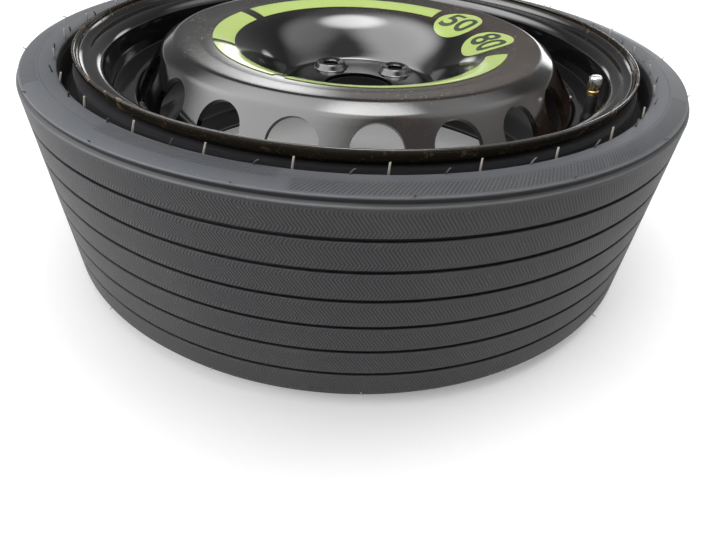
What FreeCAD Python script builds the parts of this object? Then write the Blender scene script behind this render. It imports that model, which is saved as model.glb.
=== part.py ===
# Steel spare wheel with a folded narrow tyre, lying with its outboard side up.
# Frame: Z is the wheel's axis and points outboard. The origin is the centre of the face that bolts to the hub.
# Bearings are in degrees from -Y towards +X. Lengths are in millimetres.
import FreeCAD, Part
import math
import os
from FreeCAD import Vector

# Rim: standard 6 inch wide, 17 inch drop centre rim of pressed sheet
seat_diameter = 436.6
rim_width = 152.4
rim_sheet = 2.6
wheel_offset = 34.0
flange_height = 17.3
flange_curl = 9.5
flange_hook = 14.0
lip_run = 0.3
seat_taper = 5.0
seat_length = 17.0
seat_fillet = 6.5
hump_height = 1.2
hump_round = 3.8
well_depth = 19.3
well_length = 41.8
well_round = 1.7
ledge_setback = 26.7
ledge_tilt = 6.5
slope_run = 30.0
slope_round = 22.0
shelf_drop = 4.0
inner_hump_run = 5.5

# Disc: pressed hat with a trumpet-shaped bowl, a flat crown and a pierced cone.
# Shares place its bends between the hub face's edge and the skirt, and the vents along the cone.
# The bowl's sweep is its rounding, as a share of the way from the bowl's bend to the crown's.
disc_sheet = 4.5
hub_bore_diameter = 66.6
face_radius = 73.5
face_round = 7.0
bowl_share = 0.2013
bowl_drop = 3.1
bowl_sweep = 1.66
crown_share = 0.5413
crown_drop = 2.3
crown_round = 60.0
crest_share = 0.7
crest_height = 52.0
crest_round = 7.0
shoulder_share = 0.7937
shoulder_drop = 6.1
shoulder_round = 12.0
skirt_setback = 2.2
skirt_round = 8.0
skirt_length = 30.0
skirt_clearance = 0.05
vent_count = 20
vent_diameter = 37.5
vent_share = 0.544
vent_bearing = 9.0
seam_bearing = 36.0

# Bolt holes: raised bosses with a seat for the bolt's head
bolt_count = 5
bolt_circle_diameter = 112.0
bolt_hole_diameter = 15.0
boss_height = 5.5
boss_base_radius = 17.0
boss_top_radius = 13.5
boss_wall = 4.5
bolt_seat_radius = 11.0
bolt_seat_depth = 2.0

# Welds between disc and rim, on every second land between the vents
weld_count = 10
weld_radius = 3.2
weld_span = 10.0
weld_bearing = 18.0

# Tyre: folded with no air in it, so its sidewalls lie flat and its beads hold the rim
tyre_height = 39.4
tread_width = 151.0
rib_pitch = 22.1
groove_count = 6
groove_width = 2.8
groove_depth = 2.6
tread_thickness = 12.0
tread_edge_step = 2.4
tread_edge_rise = 1.2
shoulder_undercut = 0.8
shoulder_edge_round = 1.0
shoulder_height = 4.6
ring_crown = 3.2
ring_round = 36.0
fold_round = 3.6
sidewall = 5.0
valley_width = 9.0
valley_depth = 26.0
valley_round = 4.0
bead_nose = 2.6
bead_rise = 2.0
bead_width = 16.0
bead_clearance = 0.2

# Snap-in valve: heights are along its own axis, from the outboard face of the rim's ledge
valve_bearing = 70.5
valve_inset = 10.1
valve_hole_diameter = 11.3
valve_fit = 0.05
valve_button_radius = 7.3
valve_button_height = 6.5
valve_button_bevel = 1.5
valve_collar_radius = 5.8
valve_collar_height = 3.0
valve_waist_height = 7.0
valve_waist_radius = 4.6
valve_rubber_height = 21.0
valve_rubber_top_radius = 4.4
stem_radius = 3.1
stem_tail = 9.0
stem_ring_radius = 4.5
stem_ring_height = 3.3
stem_thread_radius = 3.85
stem_height = 32.5
core_bore_radius = 2.6
core_bore_depth = 18.5
air_bore_radius = 2.3
core_length = 16.0
core_sink = 3.0
core_plug_length = 6.0
core_barrel_radius = 2.2
core_cavity_radius = 1.7
core_cavity_length = 8.0
core_floor = 1.0
pin_radius = 0.6
pin_clearance = 0.08
pin_head_radius = 1.1
pin_head_height = 0.8
pin_travel = 1.5
pin_stop_gap = 0.2
pin_collar_radius = 1.3
pin_collar_height = 0.8
pin_tail = 2.0
seal_radius = 2.0
seal_height = 2.4
seal_bevel = 0.6
spring_wire_radius = 0.2
spring_turns = 5
cap_gap = 0.2
cap_height = 10.6
cap_skirt_radius = 4.4
cap_skirt_height = 2.9
cap_head_radius = 5.0
cap_top_bevel = 0.9
cap_roof = 1.7
cap_bore_clearance = 0.1
cap_seal_bore_radius = 1.8

# Film labels on the crown
film = 0.25
film_gap = 0.25
label_shift_x = 0.9
label_shift_y = 3.6
strip_setback = 15.3
strip_width = 17.8
strip_spans = {
    "label_arc_rear": (144.7, 243.8),
    "label_arc_left_upper": (250.1, 289.9),
    "label_arc_left_lower": (294.3, 335.0),
    "label_arc_front": (339.6, 437.4),
}
label_disc_radius = 24.3
label_near_bearing = 99.6
label_near_setback = 21.7
label_far_bearing = 129.7
label_far_setback = 24.6

# Places that follow from the sizes above
rim_mid = -wheel_offset
half_width = rim_width / 2
seat_radius = seat_diameter / 2
lip_radius = seat_radius + flange_height
curl_centre_radius = lip_radius - flange_curl
tread_radius = lip_radius + tyre_height
valve_radius = seat_radius - valve_inset
taper = math.tan(math.radians(seat_taper))
ledge_slope = math.tan(math.radians(ledge_tilt))
ledge_lean = math.cos(math.radians(ledge_tilt))
ledge_height = rim_mid + half_width - ledge_setback
well_radius = seat_radius - well_depth
skirt_radius = well_radius - rim_sheet - skirt_clearance
skirt_top = ledge_height + ledge_slope * (well_radius - valve_radius) - skirt_setback
bolt_circle_radius = bolt_circle_diameter / 2
disc_span = skirt_radius - face_radius
bowl_radius = face_radius + bowl_share * disc_span
crown_radius = face_radius + crown_share * disc_span
crest_radius = face_radius + crest_share * disc_span
shoulder_radius = face_radius + shoulder_share * disc_span
crown_height = crest_height - crown_drop
bowl_height = crown_height - bowl_drop
bowl_round = bowl_sweep * (crown_radius - bowl_radius)
shoulder_top = crest_height - shoulder_drop
cone_slope = (shoulder_top - skirt_top) / (skirt_radius - shoulder_radius)
vent_radius = shoulder_radius + vent_share * (skirt_radius - shoulder_radius)
strip_inner_radius = bowl_radius + strip_setback
strip_outer_radius = strip_inner_radius + strip_width
label_disc_places = {
    "label_disc_near": (label_near_bearing, bowl_radius + label_near_setback),
    "label_disc_far": (label_far_bearing, bowl_radius + label_far_setback),
}
AXIS = Vector(0, 0, 1)
ORIGIN = Vector(0, 0, 0)


# Plane outlines: corners are (radius, height, rounding)
def rounded_wire(corners):
    """Closed wire through the corners, with each one rounded by its own radius."""
    count = len(corners)
    enters = []
    leaves = []
    arcs = []
    for index, (r, z, rounding) in enumerate(corners):
        point = Vector(r, 0, z)
        before = corners[index - 1]
        after = corners[(index + 1) % count]
        back = (Vector(before[0], 0, before[1]) - point).normalize()
        ahead = (Vector(after[0], 0, after[1]) - point).normalize()
        half_angle = back.getAngle(ahead) / 2
        if rounding <= 0 or math.pi / 2 - half_angle < 1e-6:
            enters.append(point)
            leaves.append(point)
            arcs.append(None)
            continue
        tangent = rounding / math.tan(half_angle)
        bisector = (back + ahead).normalize()
        crown = bisector * (rounding / math.sin(half_angle) - rounding)
        enters.append(point + back * tangent)
        leaves.append(point + ahead * tangent)
        arcs.append(point + crown)
    edges = []
    for index in range(count):
        if arcs[index] is not None:
            edges.append(Part.Arc(enters[index], arcs[index], leaves[index]).toShape())
        start = leaves[index]
        end = enters[(index + 1) % count]
        if start.distanceToPoint(end) > 1e-5:
            edges.append(Part.LineSegment(start, end).toShape())
    return Part.Wire(edges)


def shifted(corners, distance):
    """Open path moved sideways, to its left for a positive distance, with its roundings kept concentric."""
    steps = []
    for (r0, z0, _), (r1, z1, _) in zip(corners, corners[1:]):
        length = math.hypot(r1 - r0, z1 - z0)
        steps.append(((r1 - r0) / length, (z1 - z0) / length))
    moved = []
    for index, (r, z, rounding) in enumerate(corners):
        a = steps[max(index - 1, 0)]
        b = steps[min(index, len(steps) - 1)]
        turn = a[0] * b[1] - a[1] * b[0]
        spread = 1 + a[0] * b[0] + a[1] * b[1]
        dr = -(a[1] + b[1]) / spread * distance
        dz = (a[0] + b[0]) / spread * distance
        if turn > 0:
            rounding = max(rounding - distance, 0) if rounding else 0
        else:
            rounding = max(rounding + distance, 0) if rounding else 0
        moved.append((r + dr, z + dz, rounding))
    return moved


def sheet_outline(corners, distance):
    """Closed outline of a bent sheet: one face follows the corners, the other lies at the distance."""
    return corners + shifted(corners, distance)[::-1]


def turned(corners, start=seam_bearing, sweep=360.0):
    """Solid of revolution about the wheel's axis, from one bearing through a sweep."""
    face = Part.Face(rounded_wire(corners))
    face.rotate(ORIGIN, AXIS, start - 90)
    solid = face.revolve(ORIGIN, AXIS, sweep)
    if solid.Volume < 0:
        solid.reverse()
    return Part.Solid(solid.Shells[0])


def at_bearing(shape, bearing):
    """Copy of a shape made over +X, turned to a bearing."""
    copy = shape.copy()
    copy.rotate(ORIGIN, AXIS, bearing - 90)
    return copy


def polar(shape, count, first):
    """Copies of a shape made over +X, spread evenly round the axis."""
    return [at_bearing(shape, first + index * 360 / count) for index in range(count)]


# Rim
def ledge_face(radius):
    """Height of the ledge's outboard face at a radius."""
    return ledge_height + ledge_slope * (radius - valve_radius)


def rim_outline():
    """Tyre side of the rim, from the outboard lip over the drop centre to the inboard lip."""
    hook = math.radians(flange_hook)
    reach = flange_curl * math.tan((math.pi / 2 + hook) / 2)
    curl_radius = curl_centre_radius + reach
    tip_radius = curl_radius - (reach + lip_run) * math.sin(hook)
    tip_rise = (reach + lip_run) * math.cos(hook)
    foot_radius = seat_radius - taper * seat_length
    foot = half_width - seat_length
    hump_radius = foot_radius + hump_height
    ledge_back = rim_sheet / ledge_lean
    well_top = ledge_face(well_radius) - ledge_back
    well_end = well_top - well_length
    shelf_radius = seat_radius - shelf_drop
    inner_foot = rim_mid - foot
    return [
        (tip_radius, rim_mid + half_width + tip_rise, 0),
        (curl_radius, rim_mid + half_width, flange_curl),
        (seat_radius, rim_mid + half_width, seat_fillet),
        (foot_radius, rim_mid + foot, 2 * hump_round),
        (hump_radius, ledge_face(hump_radius) - ledge_back, hump_round),
        (well_radius, well_top, well_round),
        (well_radius, well_end, slope_round),
        (shelf_radius, well_end - slope_run, slope_round),
        (shelf_radius, inner_foot + 2 * inner_hump_run, 2 * hump_round),
        (hump_radius, inner_foot + inner_hump_run, hump_round),
        (foot_radius, inner_foot, 2 * hump_round),
        (seat_radius, rim_mid - half_width, seat_fillet),
        (curl_radius, rim_mid - half_width, flange_curl),
        (tip_radius, rim_mid - half_width - tip_rise, 0),
    ]


def make_rim():
    hole_length = 6 * rim_sheet
    hole = Part.makeCylinder(valve_hole_diameter / 2, hole_length, Vector(0, 0, -hole_length / 2))
    return turned(sheet_outline(rim_outline(), -rim_sheet)).cut(on_valve(hole))


# Disc
def disc_outline():
    """Outboard face of the disc, from the hub bore over the crown to the end of the skirt."""
    return [
        (hub_bore_diameter / 2, disc_sheet, 0),
        (face_radius, disc_sheet, face_round),
        (bowl_radius, bowl_height, bowl_round),
        (crown_radius, crown_height, crown_round),
        (crest_radius, crest_height, crest_round),
        (shoulder_radius, shoulder_top, shoulder_round),
        (skirt_radius, skirt_top, skirt_round),
        (skirt_radius, skirt_top - skirt_length, 0),
    ]


def bolt_boss():
    """Raised boss over +X, with what is cut out of it: the hollow behind it, the hole and the bolt's seat."""
    place = Vector(bolt_circle_radius, 0, 0)
    face = Vector(bolt_circle_radius, 0, disc_sheet)
    top = disc_sheet + boss_height
    boss = Part.makeCone(boss_base_radius, boss_top_radius, boss_height, face)
    hollow = Part.makeCone(boss_base_radius - boss_wall, boss_top_radius - boss_wall, boss_height, place)
    hole = Part.makeCylinder(bolt_hole_diameter / 2, 2 * top, place - AXIS * (top / 2))
    seat_place = Vector(bolt_circle_radius, 0, top - bolt_seat_depth)
    seat = Part.makeCone(bolt_hole_diameter / 2, bolt_seat_radius, bolt_seat_depth, seat_place)
    return boss, hollow.fuse([hole, seat])


def vent_hole():
    """Round cutter over +X, square to the cone."""
    lean = math.atan(cone_slope)
    out = Vector(math.sin(lean), 0, math.cos(lean))
    depth = 8 * disc_sheet
    height = shoulder_top - cone_slope * (vent_radius - shoulder_radius)
    start = Vector(vent_radius, 0, height) - out * (depth / 2)
    return Part.makeCylinder(vent_diameter / 2, depth, start, out)


def make_disc():
    boss, boss_cut = bolt_boss()
    blank = turned(sheet_outline(disc_outline(), -disc_sheet))
    bossed = blank.fuse(polar(boss, bolt_count, 0))
    drilled = bossed.cut(polar(boss_cut, bolt_count, 0))
    return drilled.cut(polar(vent_hole(), vent_count, vent_bearing)).removeSplitter()


def make_welds():
    """Weld runs in the groove between the disc's cone and the rim's ledge."""
    centre = Vector(skirt_radius, 0, skirt_top)
    rod = Part.Face(Part.Wire(Part.makeCircle(weld_radius, centre, Vector(0, 1, 0))))
    rim_section = Part.Face(rounded_wire(sheet_outline(rim_outline(), -rim_sheet)))
    disc_section = Part.Face(rounded_wire(sheet_outline(disc_outline(), -disc_sheet)))
    groove = max(rod.cut([rim_section, disc_section]).Faces, key=lambda face: face.BoundBox.ZMax)
    groove.rotate(ORIGIN, AXIS, -weld_span / 2)
    run = groove.revolve(ORIGIN, AXIS, weld_span)
    return Part.makeCompound(polar(Part.Solid(run.Shells[0]), weld_count, weld_bearing))


# Tyre
def tread_half():
    """Tread surface above the middle of the tyre: ribs and the grooves between them."""
    corners = []
    for index in range(groove_count // 2):
        middle = (index + 0.5) * rib_pitch
        low = middle - groove_width / 2
        high = middle + groove_width / 2
        floor = tread_radius - groove_depth
        corners += [(tread_radius, low, 0), (floor, low, 0), (floor, high, 0), (tread_radius, high, 0)]
    return corners


def sidewall_half():
    """From the tread's edge over the folded ring, down the valley, round the bead and back inside."""
    edge = tread_width / 2
    nose_radius = lip_radius + bead_nose
    fold_radius = nose_radius + valley_width
    fold_inside = fold_radius + sidewall
    ring_top = edge + shoulder_height
    shoulder_line = tread_radius - tread_edge_step
    crown_line = (fold_radius + shoulder_line) / 2
    valley_floor = ring_top + ring_crown - valley_depth
    seat_gap = bead_clearance / math.cos(math.radians(seat_taper))
    flank = half_width - bead_clearance
    heel = seat_radius - taper * bead_clearance + seat_gap
    toe = heel - taper * (bead_width - bead_clearance)
    rise = math.radians(bead_rise)
    curl_gap = flange_curl + bead_clearance
    curl_start = curl_centre_radius + curl_gap * math.tan(rise / 2)
    nose = flank + (nose_radius - curl_start) * math.tan(rise)
    cavity_top = ring_top - sidewall
    return [
        (tread_radius, edge, 1.0),
        (shoulder_line - shoulder_undercut, edge + tread_edge_rise, 0),
        (shoulder_line, ring_top, shoulder_edge_round),
        (crown_line, ring_top + ring_crown, ring_round),
        (fold_radius, ring_top, fold_round),
        (fold_radius, valley_floor, valley_round),
        (nose_radius, valley_floor, valley_round),
        (nose_radius, nose, 3.0),
        (curl_start, flank, curl_gap),
        (heel, flank, seat_fillet - bead_clearance),
        (toe, half_width - bead_width, 2.0),
        (nose_radius - sidewall / 2, valley_floor - sidewall, 2 * valley_round),
        (fold_inside, valley_floor - sidewall, valley_round + sidewall),
        (fold_inside, cavity_top, 3.0),
        (tread_radius - tread_thickness, cavity_top, 3.0),
    ]


def make_tyre():
    upper = tread_half() + sidewall_half()
    lower = [(r, -z, rounding) for r, z, rounding in upper[::-1]]
    return turned([(r, z + rim_mid, rounding) for r, z, rounding in lower + upper])


# Valve
def on_valve(shape):
    """Moves a shape made along +Z to the valve's place, square to the rim's ledge."""
    copy = shape.copy()
    copy.rotate(ORIGIN, Vector(0, 1, 0), -ledge_tilt)
    copy.translate(Vector(valve_radius, 0, ledge_height))
    return at_bearing(copy, valve_bearing)


def valve_turned(corners):
    """Round valve piece from its half outline."""
    face = Part.Face(Part.makePolygon([Vector(r, 0, z) for r, z in corners + corners[:1]]))
    solid = face.revolve(ORIGIN, AXIS, 360)
    return on_valve(Part.Solid(solid.Shells[0]))


def make_valve_rubber():
    neck = valve_hole_diameter / 2 - valve_fit
    button_top = -rim_sheet - valve_fit
    return valve_turned([
        (stem_radius, button_top - valve_button_height),
        (stem_radius + valve_button_bevel, button_top - valve_button_height),
        (valve_button_radius, button_top - valve_button_height / 2),
        (valve_button_radius, button_top),
        (neck, button_top),
        (neck, valve_fit),
        (valve_collar_radius, valve_fit),
        (valve_collar_radius, valve_collar_height),
        (valve_waist_radius, valve_waist_height),
        (valve_rubber_top_radius, valve_rubber_height),
        (stem_radius, valve_rubber_height),
    ])


def make_valve_stem():
    ring_top = valve_rubber_height + stem_ring_height
    bore_floor = stem_height - core_bore_depth
    bevel = 0.5
    return valve_turned([
        (air_bore_radius, -stem_tail),
        (stem_radius, -stem_tail),
        (stem_radius, valve_rubber_height),
        (stem_ring_radius, valve_rubber_height),
        (stem_ring_radius, ring_top),
        (stem_thread_radius, ring_top),
        (stem_thread_radius, stem_height - bevel),
        (stem_thread_radius - bevel, stem_height),
        (core_bore_radius, stem_height),
        (core_bore_radius, bore_floor),
        (air_bore_radius, bore_floor),
    ])


core_top = stem_height - core_sink
core_foot = core_top - core_length
cavity_foot = core_foot + core_floor
cavity_top = cavity_foot + core_cavity_length
pin_collar_top = cavity_top - pin_clearance
pin_collar_foot = pin_collar_top - pin_collar_height


def make_core_body():
    passage = pin_radius + pin_clearance
    plug_radius = core_bore_radius - valve_fit
    return valve_turned([
        (passage, core_foot),
        (core_barrel_radius, core_foot),
        (core_barrel_radius, core_top - core_plug_length),
        (plug_radius, core_top - core_plug_length),
        (plug_radius, core_top),
        (passage, core_top),
        (passage, cavity_top),
        (core_cavity_radius, cavity_top),
        (core_cavity_radius, cavity_foot),
        (passage, cavity_foot),
    ])


def make_core_pin():
    head_foot = core_top + pin_travel + pin_stop_gap
    seal_foot = core_foot - seal_height
    return valve_turned([
        (0, seal_foot - pin_tail),
        (pin_radius, seal_foot - pin_tail),
        (pin_radius, pin_collar_foot),
        (pin_collar_radius, pin_collar_foot),
        (pin_collar_radius, pin_collar_top),
        (pin_radius, pin_collar_top),
        (pin_radius, head_foot),
        (pin_head_radius, head_foot),
        (pin_head_radius, head_foot + pin_head_height),
        (0, head_foot + pin_head_height),
    ])


def make_core_seal():
    top = core_foot - valve_fit
    return valve_turned([
        (pin_radius, top - seal_height),
        (pin_radius + seal_bevel, top - seal_height),
        (seal_radius, top - seal_height / 2),
        (seal_radius, top),
        (pin_radius, top),
    ])


def make_core_spring():
    """Coil round the pin, from the core's floor up to the pin's collar."""
    coil_radius = (core_cavity_radius + pin_radius) / 2
    foot = cavity_foot + spring_wire_radius + valve_fit
    height = pin_collar_foot - valve_fit - spring_wire_radius - foot
    helix = Part.makeHelix(height / spring_turns, height, coil_radius)
    wire = Part.makeCircle(spring_wire_radius, Vector(coil_radius, 0, 0), Vector(0, 1, 0))
    coil = Part.Wire(helix.Edges).makePipeShell([Part.Wire(wire)], True, True)
    coil.translate(Vector(0, 0, foot))
    return on_valve(Part.Solid(coil.Shells[0]))


def make_cap():
    foot = valve_rubber_height + stem_ring_height + cap_gap
    top = foot + cap_height
    bore = stem_thread_radius + cap_bore_clearance
    return valve_turned([
        (bore, foot),
        (cap_skirt_radius, foot),
        (cap_skirt_radius, foot + cap_skirt_height),
        (cap_head_radius, foot + cap_skirt_height),
        (cap_head_radius, top - cap_top_bevel),
        (cap_head_radius - cap_top_bevel, top),
        (0, top),
        (0, top - cap_roof),
        (bore, top - cap_roof),
    ])


def make_cap_seal():
    foot = stem_height + valve_fit
    top = valve_rubber_height + stem_ring_height + cap_gap + cap_height - cap_roof - valve_fit
    outer = stem_thread_radius
    return valve_turned([(cap_seal_bore_radius, foot), (outer, foot), (outer, top), (cap_seal_bore_radius, top)])


# Labels
def film_outline():
    """Closed outline of a film that lies on the bowl's edge and the crown."""
    crown_slope = (crest_height - crown_height) / (crest_radius - crown_radius)
    outer = (crown_radius + crest_radius) / 2
    path = [
        (face_radius, disc_sheet, 0),
        (bowl_radius, bowl_height, bowl_round),
        (crown_radius, crown_height, crown_round),
        (outer, crown_height + crown_slope * (outer - crown_radius), 0),
    ]
    return sheet_outline(shifted(path, film_gap), film)


def make_strip(start, end):
    """Film strip on the crown between two bearings; the strips' ring sits a little off the wheel's axis."""
    reach = 2 * crest_height
    band = [
        (strip_inner_radius, 0, 0),
        (strip_outer_radius, 0, 0),
        (strip_outer_radius, reach, 0),
        (strip_inner_radius, reach, 0),
    ]
    sector = turned(band, start, end - start)
    sector.translate(Vector(label_shift_x, label_shift_y, 0))
    return turned(film_outline()).common(sector)


def make_label_disc(bearing, radius):
    """Round film on the crown."""
    cutter = Part.makeCylinder(label_disc_radius, 2 * crest_height, Vector(radius, 0, 0))
    return turned(film_outline()).common(at_bearing(cutter, bearing))


def main():
    os.makedirs("parts", exist_ok=True)
    pieces = {
        "tyre": make_tyre(),
        "rim": make_rim(),
        "wheel_disc": make_disc(),
        "weld_beads": make_welds(),
        "valve_rubber": make_valve_rubber(),
        "valve_stem": make_valve_stem(),
        "valve_core_body": make_core_body(),
        "valve_core_pin": make_core_pin(),
        "valve_core_seal": make_core_seal(),
        "valve_core_spring": make_core_spring(),
        "valve_cap": make_cap(),
        "valve_cap_seal": make_cap_seal(),
    }
    for name, (start, end) in strip_spans.items():
        pieces[name] = make_strip(start, end)
    for name, (bearing, radius) in label_disc_places.items():
        pieces[name] = make_label_disc(bearing, radius)
    for name, shape in pieces.items():
        shape.exportStep("parts/" + name + ".step")
        box = shape.BoundBox
        print(name, len(shape.Solids), shape.isValid(), round(shape.Volume, 2),
              [round(v, 2) for v in (box.XMin, box.YMin, box.ZMin, box.XMax, box.YMax, box.ZMax)])


main()
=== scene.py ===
# Spare wheel: a pressed steel wheel with a folded narrow tyre, lying outboard side up on a pale floor.
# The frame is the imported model's: metres, Z along the wheel's axis, origin in the face that meets the hub.
# Outlines are worked out in millimetres, and bearings in degrees from -Y towards +X.
import bpy
import bmesh
import math
from mathutils import Matrix, Vector


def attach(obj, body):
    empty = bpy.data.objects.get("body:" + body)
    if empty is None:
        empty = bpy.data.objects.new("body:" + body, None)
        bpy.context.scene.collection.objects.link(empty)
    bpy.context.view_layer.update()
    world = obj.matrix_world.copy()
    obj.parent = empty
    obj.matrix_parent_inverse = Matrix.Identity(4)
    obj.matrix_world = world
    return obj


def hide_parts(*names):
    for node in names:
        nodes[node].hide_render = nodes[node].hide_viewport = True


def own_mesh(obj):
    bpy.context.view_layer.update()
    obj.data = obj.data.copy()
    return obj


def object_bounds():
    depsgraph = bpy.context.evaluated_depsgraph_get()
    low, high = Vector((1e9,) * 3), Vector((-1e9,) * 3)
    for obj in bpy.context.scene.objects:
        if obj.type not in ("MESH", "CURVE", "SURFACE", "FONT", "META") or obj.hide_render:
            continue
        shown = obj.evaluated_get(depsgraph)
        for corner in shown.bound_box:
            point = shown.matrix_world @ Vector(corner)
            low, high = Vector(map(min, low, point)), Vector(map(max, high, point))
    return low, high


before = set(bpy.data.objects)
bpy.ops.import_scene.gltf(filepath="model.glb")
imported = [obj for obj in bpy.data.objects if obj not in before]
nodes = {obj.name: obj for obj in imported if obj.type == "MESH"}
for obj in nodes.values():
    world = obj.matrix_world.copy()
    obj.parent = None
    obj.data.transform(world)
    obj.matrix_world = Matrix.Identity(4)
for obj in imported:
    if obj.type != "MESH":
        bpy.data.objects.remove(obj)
cad_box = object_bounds()
MM = 0.001

# Rim sizes
seat_radius = 218.3
half_width = 76.2
rim_sheet = 2.6
rim_mid = -34.0
flange_height = 17.3
flange_curl = 9.5
flange_hook = 14.0
lip_run = 0.3
seat_taper = 5.0
seat_length = 17.0
seat_fillet = 6.5
hump_height = 1.2
hump_round = 3.8
well_depth = 19.3
well_length = 41.8
well_round = 1.7
ledge_setback = 26.7
ledge_tilt = 6.5
slope_run = 30.0
slope_round = 22.0
shelf_drop = 4.0
inner_hump_run = 5.5
lip_edge_round = 1.1

# Disc sizes
disc_sheet = 4.5
hub_bore_radius = 33.3
face_radius = 73.5
face_round = 7.0
bowl_radius = 98.23
bowl_height = 46.6
bowl_round = 69.33
crown_radius = 140.0
crown_height = 49.7
crown_round = 60.0
crest_radius = 159.5
crest_height = 52.0
crest_round = 7.0
shoulder_radius = 171.0
shoulder_drop = 6.1
shoulder_round = 12.0
cone_angle = 53.0
skirt_round = 8.0
skirt_length = 30.0
skirt_clearance = 0.05
vent_count = 20
vent_hole_radius = 18.75
vent_radius = 184.8
vent_bearing = 9.0
bolt_count = 5
bolt_circle_radius = 56.0
bolt_hole_radius = 7.5
boss_height = 5.5
boss_foot = 18.2
boss_top = 12.6
boss_wall = 4.5
bolt_seat_radius = 11.0
bolt_seat_depth = 2.0

# Weld sizes
weld_count = 10
weld_radius = 3.0
weld_span = 10.0
weld_bearing = 18.0

# Tyre sizes
tread_radius = 275.0
tread_width = 151.0
rib_pitch = 22.1
groove_count = 6
groove_width = 2.8
groove_depth = 2.6
tread_thickness = 12.0
tread_edge_step = 2.4
tread_edge_rise = 1.2
shoulder_undercut = 0.8
shoulder_edge_round = 1.0
shoulder_height = 4.6
ring_crown = 3.2
ring_round = 36.0
fold_round = 3.6
sidewall = 5.0
valley_width = 9.0
valley_depth = 26.0
valley_round = 4.0
bead_nose = 2.6
bead_rise = 2.0
bead_width = 16.0
bead_clearance = 0.2

# Valve sizes, with heights along its own axis from the rim's ledge
valve_bearing = 70.5
valve_radius = 208.2
valve_hole_radius = 5.65
valve_fit = 0.05
valve_button_radius = 7.3
valve_button_height = 6.5
valve_collar_radius = 5.8
valve_collar_height = 3.0
valve_waist_height = 7.0
valve_waist_radius = 4.6
valve_rubber_height = 21.0
valve_rubber_top_radius = 4.4
stem_radius = 3.1
stem_tail = 9.0
stem_ring_radius = 4.5
stem_ring_height = 3.3
stem_thread_radius = 3.85
stem_height = 32.5
core_bore_radius = 2.6
core_bore_depth = 18.5
core_sink = 3.0
core_length = 16.0
core_floor = 1.0
core_cavity_radius = 1.7
core_cavity_length = 8.0
pin_radius = 0.6
pin_clearance = 0.08
pin_collar_height = 0.8
spring_wire_radius = 0.2
spring_turns = 5
air_bore_radius = 2.3
thread_pitch = 0.79
thread_depth = 0.3
cap_gap = 0.2
cap_height = 10.6
cap_skirt_radius = 4.4
cap_skirt_height = 2.9
cap_head_radius = 5.0
cap_top_bevel = 0.9
cap_roof = 1.7
cap_bore_clearance = 0.1
cap_knurl_count = 36
cap_tan_height = 45.3

# Fine patterns of the tyre
zigzag_lines = 746
outer_hatch_radii = (260.0, 270.4)
inner_hatch_radii = (250.5, 262.0)
ring_line_radius = 258.6

# Label sizes
film = 0.4
film_gap = 0.1
label_shift = (0.9, 3.6)
strip_inner_radius = 113.5
strip_outer_radius = 131.3
strip_spans = {
    "label_arc_rear": (144.7, 243.8),
    "label_arc_left_upper": (250.1, 289.9),
    "label_arc_left_lower": (294.3, 335.0),
    "label_arc_front": (339.6, 437.4),
}
label_disc_radius = 24.3
label_disc_places = {
    "label_disc_near": (99.6, 118.0, "80"),
    "label_disc_far": (129.7, 120.9, "50"),
}
numeral_height = 26.5
numeral_swell = 0.8
ink = 0.06

# Places that follow from the sizes
lip_radius = seat_radius + flange_height
curl_centre_radius = lip_radius - flange_curl
taper = math.tan(math.radians(seat_taper))
ledge_slope = math.tan(math.radians(ledge_tilt))
ledge_lean = math.cos(math.radians(ledge_tilt))
ledge_height = rim_mid + half_width - ledge_setback
well_radius = seat_radius - well_depth
skirt_radius = well_radius - rim_sheet - skirt_clearance
shoulder_top = crest_height - shoulder_drop
cone_slope = math.tan(math.radians(cone_angle))
skirt_top = shoulder_top - cone_slope * (skirt_radius - shoulder_radius)
valve_turn = Matrix.Rotation(math.radians(valve_bearing - 90), 4, "Z")
valve_lean = Matrix.Rotation(math.radians(-ledge_tilt), 4, "Y")
valve_shift = Matrix.Translation((valve_radius * MM, 0, ledge_height * MM))
valve_place = valve_turn @ valve_shift @ valve_lean


# Outlines
def rounded_path(corners, closed=True, turn=9.0):
    """Points along a path whose corners (radius, height, rounding) are rounded."""
    points = []
    count = len(corners)
    for index, (r, z, rounding) in enumerate(corners):
        point = Vector((r, z))
        at_end = not closed and index in (0, count - 1)
        if rounding <= 0 or at_end:
            points.append((r, z))
            continue
        back = (Vector(corners[index - 1][:2]) - point).normalized()
        ahead = (Vector(corners[(index + 1) % count][:2]) - point).normalized()
        half = back.angle(ahead) / 2
        if math.pi / 2 - half < 1e-4:
            points.append((r, z))
            continue
        centre = point + (back + ahead).normalized() * (rounding / math.sin(half))
        start = point + back * (rounding / math.tan(half)) - centre
        sweep = back.angle_signed(ahead)
        bend = (math.pi - 2 * half) * (1 if sweep > 0 else -1)
        steps = max(2, math.ceil(math.degrees(abs(bend)) / turn))
        for step in range(steps + 1):
            angle = bend * step / steps
            c = math.cos(angle)
            s = math.sin(angle)
            points.append((centre.x + start.x * c - start.y * s, centre.y + start.x * s + start.y * c))
    return points


def shifted(corners, distance):
    """Open path moved sideways, to its left for a positive distance, with its roundings kept concentric."""
    steps = []
    for (r0, z0, _), (r1, z1, _) in zip(corners, corners[1:]):
        length = math.hypot(r1 - r0, z1 - z0)
        steps.append(((r1 - r0) / length, (z1 - z0) / length))
    moved = []
    for index, (r, z, rounding) in enumerate(corners):
        a = steps[max(index - 1, 0)]
        b = steps[min(index, len(steps) - 1)]
        turn = a[0] * b[1] - a[1] * b[0]
        spread = 1 + a[0] * b[0] + a[1] * b[1]
        dr = -(a[1] + b[1]) / spread * distance
        dz = (a[0] + b[0]) / spread * distance
        change = -distance if turn > 0 else distance
        moved.append((r + dr, z + dz, max(rounding + change, 0) if rounding else 0))
    return moved


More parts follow.
